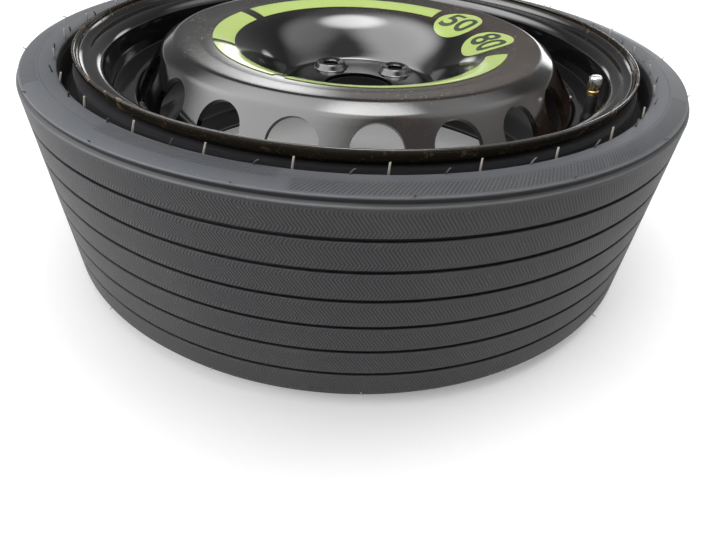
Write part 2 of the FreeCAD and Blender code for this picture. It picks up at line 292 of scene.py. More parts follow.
def sheet_outline(corners, distance, edge_round=0.0):
    """Closed outline of a bent sheet: one face follows the corners, the other lies at the distance."""
    near = list(corners)
    far = shifted(corners, distance)[::-1]
    for path in (near, far):
        path[0] = path[0][:2] + (edge_round,)
        path[-1] = path[-1][:2] + (edge_round,)
    return near + far


def divided(points, longest):
    """Closed path with its long runs divided."""
    dense = []
    for index, (r0, z0) in enumerate(points):
        r1, z1 = points[(index + 1) % len(points)]
        steps = max(1, math.ceil(math.hypot(r1 - r0, z1 - z0) / longest))
        for step in range(steps):
            dense.append((r0 + (r1 - r0) * step / steps, z0 + (z1 - z0) * step / steps))
    return dense


# Meshes
def finished(bm, name, finish, place=None, sharp=32.0):
    """Object at the origin from a mesh in millimetres, shaded smooth with its sharp edges kept."""
    bmesh.ops.remove_doubles(bm, verts=bm.verts, dist=1e-4)
    bmesh.ops.recalc_face_normals(bm, faces=bm.faces)
    bmesh.ops.scale(bm, vec=(MM, MM, MM), verts=bm.verts)
    mesh = bpy.data.meshes.new(name)
    bm.to_mesh(mesh)
    bm.free()
    if place is not None:
        mesh.transform(place)
    mesh.materials.append(finish)
    shade(mesh, sharp)
    piece = bpy.data.objects.new(name, mesh)
    bpy.context.scene.collection.objects.link(piece)
    return piece


def shade(mesh, sharp):
    """Smooth shading, broken at edges that turn by more than the angle."""
    mesh.polygons.foreach_set("use_smooth", [True] * len(mesh.polygons))
    mesh.set_sharp_from_angle(angle=math.radians(sharp))
    mesh.update()


def turned(points, segments, lift=None):
    """Mesh of a closed outline turned about the axis; lift adds height by radius, height and bearing."""
    bm = bmesh.new()
    rings = []
    for step in range(segments):
        bearing = 2 * math.pi * step / segments
        s = math.sin(bearing)
        c = math.cos(bearing)
        ring = []
        for r, z in points:
            rise = lift(r, z, bearing) if lift else 0.0
            ring.append(bm.verts.new((r * s, -r * c, z + rise)))
        rings.append(ring)
    count = len(points)
    for step in range(segments):
        ring = rings[step]
        after = rings[(step + 1) % segments]
        for index in range(count):
            ahead = (index + 1) % count
            corners = [ring[index], ring[ahead], after[ahead], after[index]]
            bm.faces.new(corners)
    return bm


def cylinder_cutter(bm, outline, segments, place):
    """Adds a closed turned cutter, whose outline starts and ends on its own axis, to a mesh."""
    rings = []
    for r, z in outline:
        if r == 0:
            rings.append([bm.verts.new(place @ Vector((0, 0, z)))])
            continue
        ring = []
        for step in range(segments):
            angle = 2 * math.pi * step / segments
            ring.append(bm.verts.new(place @ Vector((r * math.cos(angle), r * math.sin(angle), z))))
        rings.append(ring)
    for low, high in zip(rings, rings[1:]):
        for step in range(segments):
            ahead = (step + 1) % segments
            if len(low) == 1:
                bm.faces.new([low[0], high[step], high[ahead]])
            elif len(high) == 1:
                bm.faces.new([low[step], low[ahead], high[0]])
            else:
                bm.faces.new([low[step], low[ahead], high[ahead], high[step]])


def baked(piece):
    """Puts the evaluated mesh of a piece in place of its own, and drops the modifiers."""
    graph = bpy.context.evaluated_depsgraph_get()
    mesh = bpy.data.meshes.new_from_object(piece.evaluated_get(graph))
    old = piece.data
    piece.modifiers.clear()
    piece.data = mesh
    mesh.name = piece.name
    bpy.data.meshes.remove(old)
    return piece


def punched(piece, cutter_mesh, sharp=32.0):
    """Cuts the cutter's holes through a piece."""
    cutter = finished(cutter_mesh, piece.name + "_cutter", piece.data.materials[0])
    cut = piece.modifiers.new("holes", "BOOLEAN")
    cut.operation = "DIFFERENCE"
    cut.solver = "EXACT"
    cut.object = cutter
    baked(piece)
    bpy.data.objects.remove(cutter)
    shade(piece.data, sharp)
    return piece


def settle(piece, body, slot, *replaced):
    """Lets a piece ride on its body and stand for its CAD nodes; the slot argument is not used."""
    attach(piece, body)
    if replaced:
        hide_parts(*replaced)
    return piece


# Shader helpers
def feed(tree, target, value):
    """Links a socket, or sets a plain value."""
    if isinstance(value, bpy.types.NodeSocket):
        tree.links.new(value, target)
    else:
        target.default_value = value


def sum_of(tree, operation, *values):
    """Output of a Math node."""
    node = tree.nodes.new("ShaderNodeMath")
    node.operation = operation
    for target, value in zip(node.inputs, values):
        feed(tree, target, value)
    return node.outputs[0]


def product(tree, first, *others):
    """Values multiplied together."""
    for other in others:
        first = sum_of(tree, "MULTIPLY", first, other)
    return first


def rise(tree, value, low, high):
    """Smooth step from 0 at low to 1 at high; it falls where low is above high."""
    node = tree.nodes.new("ShaderNodeMapRange")
    node.interpolation_type = "SMOOTHSTEP"
    feed(tree, node.inputs["Value"], value)
    upward = low < high
    node.inputs["From Min"].default_value = min(low, high)
    node.inputs["From Max"].default_value = max(low, high)
    node.inputs["To Min"].default_value = 0.0 if upward else 1.0
    node.inputs["To Max"].default_value = 1.0 if upward else 0.0
    return node.outputs["Result"]


def band(tree, value, low, high, soft):
    """1 between two values, with soft ends."""
    above = rise(tree, value, low - soft, low + soft)
    below = rise(tree, value, high + soft, high - soft)
    return sum_of(tree, "MULTIPLY", above, below)


def noise(tree, vector, scale, detail=4.0, roughness=0.55):
    node = tree.nodes.new("ShaderNodeTexNoise")
    feed(tree, node.inputs["Vector"], vector)
    feed(tree, node.inputs["Scale"], scale)
    node.inputs["Detail"].default_value = detail
    node.inputs["Roughness"].default_value = roughness
    return node.outputs["Fac"]


def blend_colour(tree, share, first, second):
    """Colour between two, by share."""
    node = tree.nodes.new("ShaderNodeMix")
    node.data_type = "RGBA"
    feed(tree, node.inputs[0], share)
    feed(tree, node.inputs[6], first)
    feed(tree, node.inputs[7], second)
    return node.outputs[2]


def colour(r, g, b):
    """Linear colour from the three values of a screen colour."""
    linear = []
    for value in (r, g, b):
        level = value / 255
        linear.append(level / 12.92 if level <= 0.04045 else ((level + 0.055) / 1.055) ** 2.4)
    return (*linear, 1.0)


def node_group(name, inputs, outputs):
    """Empty shader group with named value and vector sockets."""
    tree = bpy.data.node_groups.new(name, "ShaderNodeTree")
    for label, kind, value in inputs:
        socket = tree.interface.new_socket(label, in_out="INPUT", socket_type=kind)
        if value is not None:
            socket.default_value = value
    for label in outputs:
        tree.interface.new_socket(label, in_out="OUTPUT", socket_type="NodeSocketFloat")
    return tree, tree.nodes.new("NodeGroupInput"), tree.nodes.new("NodeGroupOutput")


def placed_group(tree, group, **values):
    """Group node with its inputs set; spaces in names are written as underscores."""
    node = tree.nodes.new("ShaderNodeGroup")
    node.node_tree = group
    for label, value in values.items():
        feed(tree, node.inputs[label.replace("_", " ")], value)
    return node.outputs


def make_wheel_place():
    """Radius and height in millimetres from the axis and the rim's middle, and bearing in degrees."""
    tree, source, result = node_group(
        "wheel_place",
        [("Vector", "NodeSocketVector", None)],
        ["Radius", "Bearing", "Height"],
    )
    parts = tree.nodes.new("ShaderNodeSeparateXYZ")
    tree.links.new(source.outputs["Vector"], parts.inputs[0])
    x, y, z = parts.outputs
    square = sum_of(tree, "ADD", sum_of(tree, "MULTIPLY", x, x), sum_of(tree, "MULTIPLY", y, y))
    radius = sum_of(tree, "MULTIPLY", sum_of(tree, "SQRT", square), 1 / MM)
    angle = sum_of(tree, "ARCTAN2", x, sum_of(tree, "MULTIPLY", y, -1.0))
    bearing = sum_of(tree, "MULTIPLY", angle, 180 / math.pi)
    height = sum_of(tree, "MULTIPLY_ADD", z, 1 / MM, -rim_mid)
    for label, value in (("Radius", radius), ("Bearing", bearing), ("Height", height)):
        tree.links.new(value, result.inputs[label])
    return tree


def make_settled_dust():
    """Soft film of dust and separate specks, by a cover from 0 to 1."""
    tree, source, result = node_group(
        "settled_dust",
        [
            ("Vector", "NodeSocketVector", None),
            ("Scale", "NodeSocketFloat", 1.0),
            ("Cover", "NodeSocketFloat", 0.5),
        ],
        ["Film", "Specks"],
    )
    vector = source.outputs["Vector"]
    scale = source.outputs["Scale"]
    cover = source.outputs["Cover"]
    cloud = noise(tree, vector, sum_of(tree, "MULTIPLY", scale, 14.0), 7.0, 0.62)
    level = sum_of(tree, "ADD", cloud, sum_of(tree, "MULTIPLY_ADD", cover, 0.7, -0.6))
    film_cover = rise(tree, level, 0.1, 0.55)
    cells = tree.nodes.new("ShaderNodeTexVoronoi")
    tree.links.new(vector, cells.inputs["Vector"])
    tree.links.new(sum_of(tree, "MULTIPLY", scale, 420.0), cells.inputs["Scale"])
    size = sum_of(tree, "MULTIPLY", cells.outputs["Color"], sum_of(tree, "MULTIPLY", cover, 0.34))
    spots = sum_of(tree, "LESS_THAN", cells.outputs["Distance"], size)
    patches = rise(tree, noise(tree, vector, sum_of(tree, "MULTIPLY", scale, 38.0), 3.0), 0.42, 0.62)
    tree.links.new(film_cover, result.inputs["Film"])
    tree.links.new(sum_of(tree, "MULTIPLY", spots, patches), result.inputs["Specks"])
    return tree


def make_worn_spots():
    """Hard-edged patches where a coat has gone, by share from 0 to 1."""
    tree, source, result = node_group(
        "worn_spots",
        [
            ("Vector", "NodeSocketVector", None),
            ("Scale", "NodeSocketFloat", 60.0),
            ("Share", "NodeSocketFloat", 0.3),
        ],
        ["Mask"],
    )
    cloud = noise(tree, source.outputs["Vector"], source.outputs["Scale"], 9.0, 0.68)
    level = sum_of(tree, "ADD", cloud, sum_of(tree, "MULTIPLY_ADD", source.outputs["Share"], 0.5, -0.25))
    tree.links.new(rise(tree, level, 0.52, 0.6), result.inputs["Mask"])
    return tree


def make_surface_grain():
    """Fine unevenness of a coat or a moulding, as a height."""
    tree, source, result = node_group(
        "surface_grain",
        [("Vector", "NodeSocketVector", None), ("Scale", "NodeSocketFloat", 400.0)],
        ["Height"],
    )
    vector = source.outputs["Vector"]
    scale = source.outputs["Scale"]
    fine = noise(tree, vector, scale, 5.0, 0.6)
    broad = noise(tree, vector, sum_of(tree, "MULTIPLY", scale, 0.12), 3.0, 0.5)
    tree.links.new(sum_of(tree, "MULTIPLY_ADD", broad, 1.6, fine), result.inputs["Height"])
    return tree


wheel_place = make_wheel_place()
settled_dust = make_settled_dust()
worn_spots = make_worn_spots()
surface_grain = make_surface_grain()


def new_finish(name, **values):
    """Material with its shader, object coordinates, and plain values set on the shader's own sockets."""
    finish = bpy.data.materials.new(name)
    finish.use_nodes = True
    tree = finish.node_tree
    shader = tree.nodes["Principled BSDF"]
    for label, value in values.items():
        shader.inputs[label.replace("_", " ")].default_value = value
    where = tree.nodes.new("ShaderNodeTexCoord").outputs["Object"]
    return finish, tree, shader, where


def bump(tree, shader, height, depth, strength=1.0):
    """Drives the shader's normal by a height, in millimetres."""
    node = tree.nodes.new("ShaderNodeBump")
    node.inputs["Distance"].default_value = depth * MM
    node.inputs["Strength"].default_value = strength
    tree.links.new(height, node.inputs["Height"])
    tree.links.new(node.outputs["Normal"], shader.inputs["Normal"])


def between(tree, value, low, high):
    """Value from 0 to 1 moved to another range."""
    return sum_of(tree, "MULTIPLY_ADD", value, high - low, low)


# Finishes
def make_tyre_rubber():
    """Grey rubber with the tread's fine zigzag, hatched bands on the folded wall and a little dust, with
    painted shade in the grooves, the fine lines, the valley and under the ring's edge, and painted highlights
    on the zigzag's ridges and along the edges.
    """
    finish, tree, shader, where = new_finish("tyre_rubber", Specular_IOR_Level=0.22)
    place = placed_group(tree, wheel_place, Vector=where)
    radius = place["Radius"]
    bearing = place["Bearing"]
    height = place["Height"]
    away = sum_of(tree, "ABSOLUTE", height)
    edge = tread_width / 2
    ring_top = edge + shoulder_height
    ring_edge = tread_radius - tread_edge_step
    fold_edge = lip_radius + bead_nose + valley_width

    rib = sum_of(tree, "FRACT", sum_of(tree, "MULTIPLY_ADD", height, 1 / rib_pitch, 0.5))
    zigzag = sum_of(tree, "PINGPONG", sum_of(tree, "ADD", rib, 0.25), 0.5)
    count = sum_of(tree, "MULTIPLY_ADD", bearing, zigzag_lines / 360, sum_of(tree, "MULTIPLY", zigzag, -6.1))
    from_line = sum_of(tree, "PINGPONG", count, 0.5)
    line = rise(tree, from_line, 0.29, 0.15)
    on_tread = rise(tree, radius, tread_radius - 1.2, tread_radius - 0.7)
    inside_rib = band(tree, rib, 0.085, 0.915, 0.01)
    below_edge = rise(tree, away, edge - 1.6, edge - 2.4)
    zigzag_field = product(tree, on_tread, inside_rib, below_edge)
    tread_lines = product(tree, line, zigzag_field)
    ridge_highlight = product(tree, rise(tree, from_line, 0.3, 0.45), zigzag_field)

    on_wall = rise(tree, away, edge + 2.9, edge + 3.7)
    slant = sum_of(tree, "MULTIPLY_ADD", bearing, 1.79, sum_of(tree, "MULTIPLY", radius, 0.33))
    hatch = rise(tree, sum_of(tree, "PINGPONG", slant, 0.5), 0.33, 0.15)
    steep = sum_of(tree, "MULTIPLY_ADD", bearing, 1.45, sum_of(tree, "MULTIPLY", radius, 0.3))
    spokes = rise(tree, sum_of(tree, "PINGPONG", steep, 0.5), 0.33, 0.15)
    sector = sum_of(tree, "FRACT", sum_of(tree, "MULTIPLY_ADD", bearing, 1 / 120, 35 / 120))
    outer_arc = band(tree, sector, 0.27, 0.86, 0.004)
    inner_arc = band(tree, sector, 0.03, 0.255, 0.004)
    outer_band = product(tree, band(tree, radius, *outer_hatch_radii, 0.25), outer_arc)
    inner_band = product(tree, band(tree, radius, *inner_hatch_radii, 0.25), inner_arc)
    wall_hatch = sum_of(tree, "ADD", product(tree, hatch, outer_band), product(tree, spokes, inner_band))
    from_ring_line = sum_of(tree, "ABSOLUTE", sum_of(tree, "SUBTRACT", radius, ring_line_radius))
    ring_line = product(tree, rise(tree, from_ring_line, 0.5, 0.2), 0.5)
    wall_lines = product(tree, on_wall, sum_of(tree, "MAXIMUM", wall_hatch, ring_line))

    below_tread = rise(tree, radius, tread_radius - 0.5, tread_radius - 1.3)
    groove_shade = product(tree, below_tread, rise(tree, away, edge - 1.0, edge - 2.0))
    in_step = rise(tree, radius, tread_radius - 0.9, tread_radius - 1.8)
    under_edge_shade = product(tree, in_step, band(tree, away, edge - 0.2, ring_top - 0.7, 0.4))
    at_ring_edge = band(tree, radius, ring_edge - 1.0, ring_edge + 0.6, 0.3)
    edge_line = product(tree, at_ring_edge, rise(tree, away, ring_top - 1.3, ring_top - 0.7))
    rib_line = product(tree, on_tread, rise(tree, away, edge - 1.0, edge - 0.5), 0.5)
    fold_line = product(tree, band(tree, radius, fold_edge - 0.8, fold_edge + 1.4, 0.4), on_wall)
    in_valley = rise(tree, radius, fold_edge - 0.2, fold_edge - 1.6)

    dust = placed_group(tree, settled_dust, Vector=where, Scale=0.7, Cover=0.42)
    grain = placed_group(tree, surface_grain, Vector=where, Scale=900.0)["Height"]
    cloud = noise(tree, where, 9.0, 5.0)
    lines = sum_of(tree, "MAXIMUM", tread_lines, wall_lines)
    tread_tone = blend_colour(tree, cloud, colour(56, 56, 58), colour(64, 64, 66))
    wall_tone = blend_colour(tree, cloud, colour(58, 60, 64), colour(68, 70, 74))
    base = blend_colour(tree, on_wall, tread_tone, wall_tone)
    # Painted highlight on the zigzag's raised ridges and painted shade in its sunken lines; the rubber itself
    # is one colour.
    base = blend_colour(tree, product(tree, ridge_highlight, 0.4), base, colour(92, 92, 94))
    base = blend_colour(tree, product(tree, tread_lines, 0.5), base, colour(32, 32, 33))
    # Painted shade in the sunken hatch lines and the ring line of the folded wall.
    base = blend_colour(tree, product(tree, wall_lines, 0.7), base, colour(30, 30, 32))
    base = blend_colour(tree, sum_of(tree, "MULTIPLY", dust["Film"], 0.16), base, colour(128, 124, 116))
    base = blend_colour(tree, sum_of(tree, "MULTIPLY", dust["Specks"], 0.35), base, colour(168, 162, 150))
    # Painted highlights along the ring's edge, the tread's edge and the fold.
    painted_highlight_lines = sum_of(tree, "MAXIMUM", edge_line, sum_of(tree, "MAXIMUM", rib_line, fold_line))
    base = blend_colour(tree, sum_of(tree, "MULTIPLY", painted_highlight_lines, 0.3), base, colour(122, 124, 128))
    # Painted shade in the step under the ring's edge.
    base = blend_colour(tree, sum_of(tree, "MULTIPLY", under_edge_shade, 0.8), base, colour(34, 34, 36))
    # Painted shade deep in the valley between the rim's lip and the folded ring.
    base = blend_colour(tree, product(tree, in_valley, 0.9), base, colour(20, 20, 22))
    # Painted shade in the tread's grooves.
    base = blend_colour(tree, sum_of(tree, "MULTIPLY", groove_shade, 0.95), base, colour(12, 12, 13))
    tree.links.new(base, shader.inputs["Base Color"])
    dull = sum_of(tree, "MAXIMUM", between(tree, dust["Film"], 0.5, 0.72), in_valley)
    tree.links.new(dull, shader.inputs["Roughness"])
    relief = sum_of(tree, "MULTIPLY_ADD", lines, -1.0, sum_of(tree, "MULTIPLY", grain, 0.12))
    bump(tree, shader, relief, 0.4)
    return finish


def make_rim_paint():
    """Glossy black paint with orange peel, rust that comes through on the rolled lip, and a pale crest that
    is partly worn paint and partly a painted highlight.
    """
    finish, tree, shader, where = new_finish("rim_paint", IOR=1.45)
    place = placed_group(tree, wheel_place, Vector=where)
    away = sum_of(tree, "ABSOLUTE", place["Height"])
    radius = place["Radius"]
    outside = rise(tree, radius, lip_radius - 5.0, lip_radius - 2.0)
    on_lip = product(tree, outside, rise(tree, away, half_width - 1.0, half_width + 4.0))
    crest = half_width + flange_height
    at_crest = band(tree, radius, lip_radius - 4.5, lip_radius - 1.0, 1.0)
    on_crest = product(tree, rise(tree, away, crest - 2.4, crest - 0.8), at_crest)
    dust = placed_group(tree, settled_dust, Vector=where, Scale=1.0, Cover=0.3)
    lip_dust = placed_group(tree, settled_dust, Vector=where, Scale=1.6, Cover=0.75)
    rust = placed_group(tree, worn_spots, Vector=where, Scale=95.0, Share=0.42)["Mask"]
    rust = product(tree, rust, on_lip)
    lip_specks = product(tree, lip_dust["Specks"], on_lip)
    specks = sum_of(tree, "MAXIMUM", product(tree, dust["Specks"], 0.5), lip_specks)
    grain = placed_group(tree, surface_grain, Vector=where, Scale=260.0)["Height"]
    base = blend_colour(tree, product(tree, on_lip, 0.85), colour(18, 18, 19), colour(48, 42, 33))
    base = blend_colour(tree, product(tree, dust["Film"], 0.06), base, colour(120, 112, 100))
    base = blend_colour(tree, product(tree, rust, 0.65), base, colour(88, 66, 46))
    # Pale crest of the lip: worn paint together with a painted highlight along the rolled edge.
    crest_wear_and_highlight = product(tree, on_crest, between(tree, lip_dust["Film"], 0.35, 0.8))
    base = blend_colour(tree, crest_wear_and_highlight, base, colour(150, 142, 126))
    base = blend_colour(tree, product(tree, specks, 0.6), base, colour(158, 148, 128))
    tree.links.new(base, shader.inputs["Base Color"])
    dull = sum_of(tree, "MAXIMUM", product(tree, rust, 0.9), product(tree, dust["Film"], 0.12))
    tree.links.new(between(tree, dull, 0.06, 0.6), shader.inputs["Roughness"])
    bump(tree, shader, sum_of(tree, "MULTIPLY_ADD", rust, 0.8, grain), 0.035)
    return finish


def make_disc_paint():
    """Black paint with a satin shine, and thin road dust on the crown that browns to the right."""
    finish, tree, shader, where = new_finish("disc_paint", IOR=1.42)
    place = placed_group(tree, wheel_place, Vector=where)
    radius = place["Radius"]
    height = place["Height"]
    outboard = rise(tree, height, 62.0, 74.0)
    on_crown = product(tree, band(tree, radius, 112.0, 160.0, 8.0), outboard)
    on_cone = band(tree, radius, 170.0, 198.0, 3.0)
    bearing = sum_of(tree, "MULTIPLY_ADD", place["Bearing"], math.pi / 180, -math.radians(80.0))
    rightward = rise(tree, sum_of(tree, "COSINE", bearing), -0.4, 0.9)
    crown_dust = placed_group(tree, settled_dust, Vector=where, Scale=0.9, Cover=0.8)
    light_dust = placed_group(tree, settled_dust, Vector=where, Scale=1.1, Cover=0.32)
    rust = placed_group(tree, worn_spots, Vector=where, Scale=34.0, Share=0.36)["Mask"]
    dusty = sum_of(tree, "MAXIMUM", on_crown, on_cone)
    brown = product(tree, between(tree, rust, 0.35, 1.0), rightward, dusty)
    crown_film = product(tree, crown_dust["Film"], on_crown, between(tree, rightward, 0.6, 1.0))
    crown_specks = product(tree, crown_dust["Specks"], on_crown)
    specks = sum_of(tree, "MAXIMUM", crown_specks, product(tree, light_dust["Specks"], 0.45))
    film_cover = sum_of(tree, "MAXIMUM", crown_film, product(tree, light_dust["Film"], 0.12))
    grain = placed_group(tree, surface_grain, Vector=where, Scale=240.0)["Height"]
    base = blend_colour(tree, product(tree, film_cover, 0.16), colour(15, 15, 16), colour(92, 86, 78))
    base = blend_colour(tree, product(tree, brown, 0.36), base, colour(90, 62, 43))
    base = blend_colour(tree, product(tree, specks, 0.6), base, colour(165, 155, 138))
    tree.links.new(base, shader.inputs["Base Color"])
    dull = sum_of(tree, "MAXIMUM", film_cover, product(tree, brown, 0.5))
    tree.links.new(between(tree, dull, 0.09, 0.26), shader.inputs["Roughness"])
    bump(tree, shader, sum_of(tree, "ADD", grain, specks), 0.03)
    return finish


def make_weld_paint():
    """Painted weld metal with a little rust."""
    finish, tree, shader, where = new_finish("weld_paint")
    rust = placed_group(tree, worn_spots, Vector=where, Scale=240.0, Share=0.4)["Mask"]
    grain = placed_group(tree, surface_grain, Vector=where, Scale=500.0)["Height"]
    base = blend_colour(tree, sum_of(tree, "MULTIPLY", rust, 0.55), colour(24, 23, 23), colour(92, 72, 54))
    tree.links.new(base, shader.inputs["Base Color"])
    tree.links.new(between(tree, rust, 0.25, 0.7), shader.inputs["Roughness"])
    bump(tree, shader, grain, 0.1)
    return finish


def make_plain_rubber(name, dark, pale, rough):
    """Moulded rubber with a fine grain and a trace of dust."""
    finish, tree, shader, where = new_finish(name, Specular_IOR_Level=0.35)
    dust = placed_group(tree, settled_dust, Vector=where, Scale=3.0, Cover=0.35)
    grain = placed_group(tree, surface_grain, Vector=where, Scale=1500.0)["Height"]
    base = blend_colour(tree, sum_of(tree, "MULTIPLY", dust["Film"], 0.5), dark, pale)
    tree.links.new(base, shader.inputs["Base Color"])
    tree.links.new(between(tree, dust["Film"], rough, rough + 0.15), shader.inputs["Roughness"])
    bump(tree, shader, grain, 0.05)
    return finish


def make_bare_metal(name, bright, dull, rough):
    """Bare metal with dull patches and fine marks."""
    finish, tree, shader, where = new_finish(name, Metallic=1.0)
    worn = placed_group(tree, worn_spots, Vector=where, Scale=420.0, Share=0.35)["Mask"]
    grain = placed_group(tree, surface_grain, Vector=where, Scale=2200.0)["Height"]
    tree.links.new(blend_colour(tree, worn, bright, dull), shader.inputs["Base Color"])
    tree.links.new(between(tree, worn, rough, rough + 0.2), shader.inputs["Roughness"])
    bump(tree, shader, grain, 0.03)
    return finish


def make_cap_metal():
    """Plated cap that is tan on its lower half."""
    finish, tree, shader, where = new_finish("cap_metal", Metallic=1.0)
    height = placed_group(tree, wheel_place, Vector=where)["Height"]
    worn = placed_group(tree, worn_spots, Vector=where, Scale=420.0, Share=0.35)["Mask"]
    grain = placed_group(tree, surface_grain, Vector=where, Scale=2200.0)["Height"]
    plated = blend_colour(tree, worn, colour(206, 206, 204), colour(150, 150, 148))
    tan = blend_colour(tree, worn, colour(176, 156, 120), colour(122, 106, 82))
    split = cap_tan_height - rim_mid
    lower_half = rise(tree, height, split + 0.5, split - 0.5)
    tree.links.new(blend_colour(tree, lower_half, plated, tan), shader.inputs["Base Color"])
    tree.links.new(between(tree, worn, 0.25, 0.45), shader.inputs["Roughness"])
    bump(tree, shader, grain, 0.03)
    return finish


def make_label_film():
    """Yellow-green film with a soft mottle and a glossy face."""
    finish, tree, shader, where = new_finish("label_film", Specular_IOR_Level=0.5)
    dust = placed_group(tree, settled_dust, Vector=where, Scale=1.6, Cover=0.35)
    grain = placed_group(tree, surface_grain, Vector=where, Scale=300.0)["Height"]
    base = blend_colour(tree, noise(tree, where, 26.0, 4.0), colour(178, 201, 110), colour(190, 211, 124))
    base = blend_colour(tree, sum_of(tree, "MULTIPLY", dust["Film"], 0.2), base, colour(170, 178, 120))
    base = blend_colour(tree, sum_of(tree, "MULTIPLY", dust["Specks"], 0.4), base, colour(120, 116, 86))
    tree.links.new(base, shader.inputs["Base Color"])
    tree.links.new(between(tree, dust["Film"], 0.12, 0.3), shader.inputs["Roughness"])
    bump(tree, shader, grain, 0.025)
    return finish


def make_numeral_ink():
    """Dark green-black ink with small gaps."""
    finish, tree, shader, where = new_finish("numeral_ink")
    gaps = placed_group(tree, worn_spots, Vector=where, Scale=700.0, Share=0.12)["Mask"]
    thin = sum_of(tree, "MULTIPLY", gaps, 0.5)
    base = blend_colour(tree, thin, colour(34, 44, 26), colour(110, 130, 70))
    tree.links.new(base, shader.inputs["Base Color"])
    tree.links.new(between(tree, gaps, 0.35, 0.5), shader.inputs["Roughness"])
    return finish


def make_hair_rubber(name, root, tip):
    """Thin moulding hair that turns paler to its tip."""
    finish, tree, shader, where = new_finish(name, Roughness=0.55)
    along = tree.nodes.new("ShaderNodeAttribute")
    along.attribute_name = "tip"
    mottle = noise(tree, where, 900.0, 2.0)
    share = sum_of(tree, "MULTIPLY", along.outputs["Fac"], between(tree, mottle, 0.7, 1.2))
    tree.links.new(blend_colour(tree, share, root, tip), shader.inputs["Base Color"])
    return finish


tyre_rubber = make_tyre_rubber()
rim_paint = make_rim_paint()
disc_paint = make_disc_paint()
weld_paint = make_weld_paint()
valve_black_rubber = make_plain_rubber("valve_black_rubber", colour(26, 26, 27), colour(70, 68, 64), 0.45)
seal_rubber = make_plain_rubber("seal_rubber", colour(28, 28, 30), colour(60, 58, 56), 0.5)
valve_brass = make_bare_metal("valve_brass", colour(206, 178, 122), colour(140, 116, 78), 0.3)
cap_metal = make_cap_metal()
spring_steel = make_bare_metal("spring_steel", colour(180, 182, 186), colour(120, 120, 122), 0.3)
label_film = make_label_film()
numeral_ink = make_numeral_ink()
# Painted highlight: the pale colour, strongest at the tips, stands in for light catching the tyre's dark
# rubber hairs.
pale_hair = make_hair_rubber("pale_hair", colour(104, 102, 98), colour(208, 202, 188))
dark_hair = make_hair_rubber("dark_hair", colour(30, 30, 31), colour(58, 57, 56))


# Copies round a ring
def make_ring_tree():
    """Geometry tree that stands copies of a piece on a circle, each with its own lean and length."""
    tree = bpy.data.node_groups.new("ring_of_copies", "GeometryNodeTree")
    tree.is_modifier = True
    kinds = [
        ("Copy", "NodeSocketObject"),
        ("Finish", "NodeSocketMaterial"),
        ("Count", "NodeSocketInt"),
        ("Radius", "NodeSocketFloat"),
        ("Height", "NodeSocketFloat"),
        ("First bearing", "NodeSocketFloat"),
        ("Lean", "NodeSocketFloat"),
        ("Sway", "NodeSocketFloat"),
        ("Shortest", "NodeSocketFloat"),
        ("Longest", "NodeSocketFloat"),
        ("Seed", "NodeSocketInt"),
    ]
    for label, kind in kinds:
        tree.interface.new_socket(label, in_out="INPUT", socket_type=kind)
    tree.interface.new_socket("Geometry", in_out="OUTPUT", socket_type="NodeSocketGeometry")
    source = tree.nodes.new("NodeGroupInput").outputs
    result = tree.nodes.new("NodeGroupOutput")
    index = tree.nodes.new("GeometryNodeInputIndex").outputs[0]
    step = sum_of(tree, "DIVIDE", 2 * math.pi, source["Count"])
    angle = sum_of(tree, "MULTIPLY_ADD", index, step, source["First bearing"])
    place = tree.nodes.new("ShaderNodeCombineXYZ")
    tree.links.new(sum_of(tree, "MULTIPLY", sum_of(tree, "SINE", angle), source["Radius"]), place.inputs[0])
    back = sum_of(tree, "MULTIPLY", sum_of(tree, "COSINE", angle), source["Radius"])
    tree.links.new(sum_of(tree, "MULTIPLY", back, -1.0), place.inputs[1])
    tree.links.new(source["Height"], place.inputs[2])
    points = tree.nodes.new("GeometryNodePoints")
    tree.links.new(source["Count"], points.inputs["Count"])
    tree.links.new(place.outputs[0], points.inputs["Position"])

    def chance(low, high, offset):
        node = tree.nodes.new("FunctionNodeRandomValue")
        node.data_type = "FLOAT"
        feed(tree, node.inputs[2], low)
        feed(tree, node.inputs[3], high)
        tree.links.new(index, node.inputs["ID"])
        seed = sum_of(tree, "ADD", source["Seed"], offset)
        tree.links.new(seed, node.inputs["Seed"])
        return node.outputs[1]

    negative = sum_of(tree, "MULTIPLY", source["Sway"], -1.0)
    turn = tree.nodes.new("ShaderNodeCombineXYZ")
    swayed = sum_of(tree, "ADD", source["Lean"], chance(negative, source["Sway"], 0.0))
    tree.links.new(swayed, turn.inputs[0])
    tree.links.new(chance(negative, source["Sway"], 7.0), turn.inputs[1])
    tree.links.new(angle, turn.inputs[2])
    as_turn = tree.nodes.new("FunctionNodeEulerToRotation")
    tree.links.new(turn.outputs[0], as_turn.inputs[0])
    size = tree.nodes.new("ShaderNodeCombineXYZ")
    size.inputs[0].default_value = 1.0
    size.inputs[1].default_value = 1.0
    tree.links.new(chance(source["Shortest"], source["Longest"], 13.0), size.inputs[2])
    copy = tree.nodes.new("GeometryNodeObjectInfo")
    tree.links.new(source["Copy"], copy.inputs["Object"])
    stand = tree.nodes.new("GeometryNodeInstanceOnPoints")
    tree.links.new(points.outputs[0], stand.inputs["Points"])
    tree.links.new(copy.outputs["Geometry"], stand.inputs["Instance"])
    tree.links.new(as_turn.outputs[0], stand.inputs["Rotation"])
    tree.links.new(size.outputs[0], stand.inputs["Scale"])
    real = tree.nodes.new("GeometryNodeRealizeInstances")
    tree.links.new(stand.outputs[0], real.inputs[0])
    paint = tree.nodes.new("GeometryNodeSetMaterial")
    tree.links.new(real.outputs[0], paint.inputs["Geometry"])
    tree.links.new(source["Finish"], paint.inputs["Material"])
    tree.links.new(paint.outputs[0], result.inputs[0])
    return tree


ring_tree = make_ring_tree()


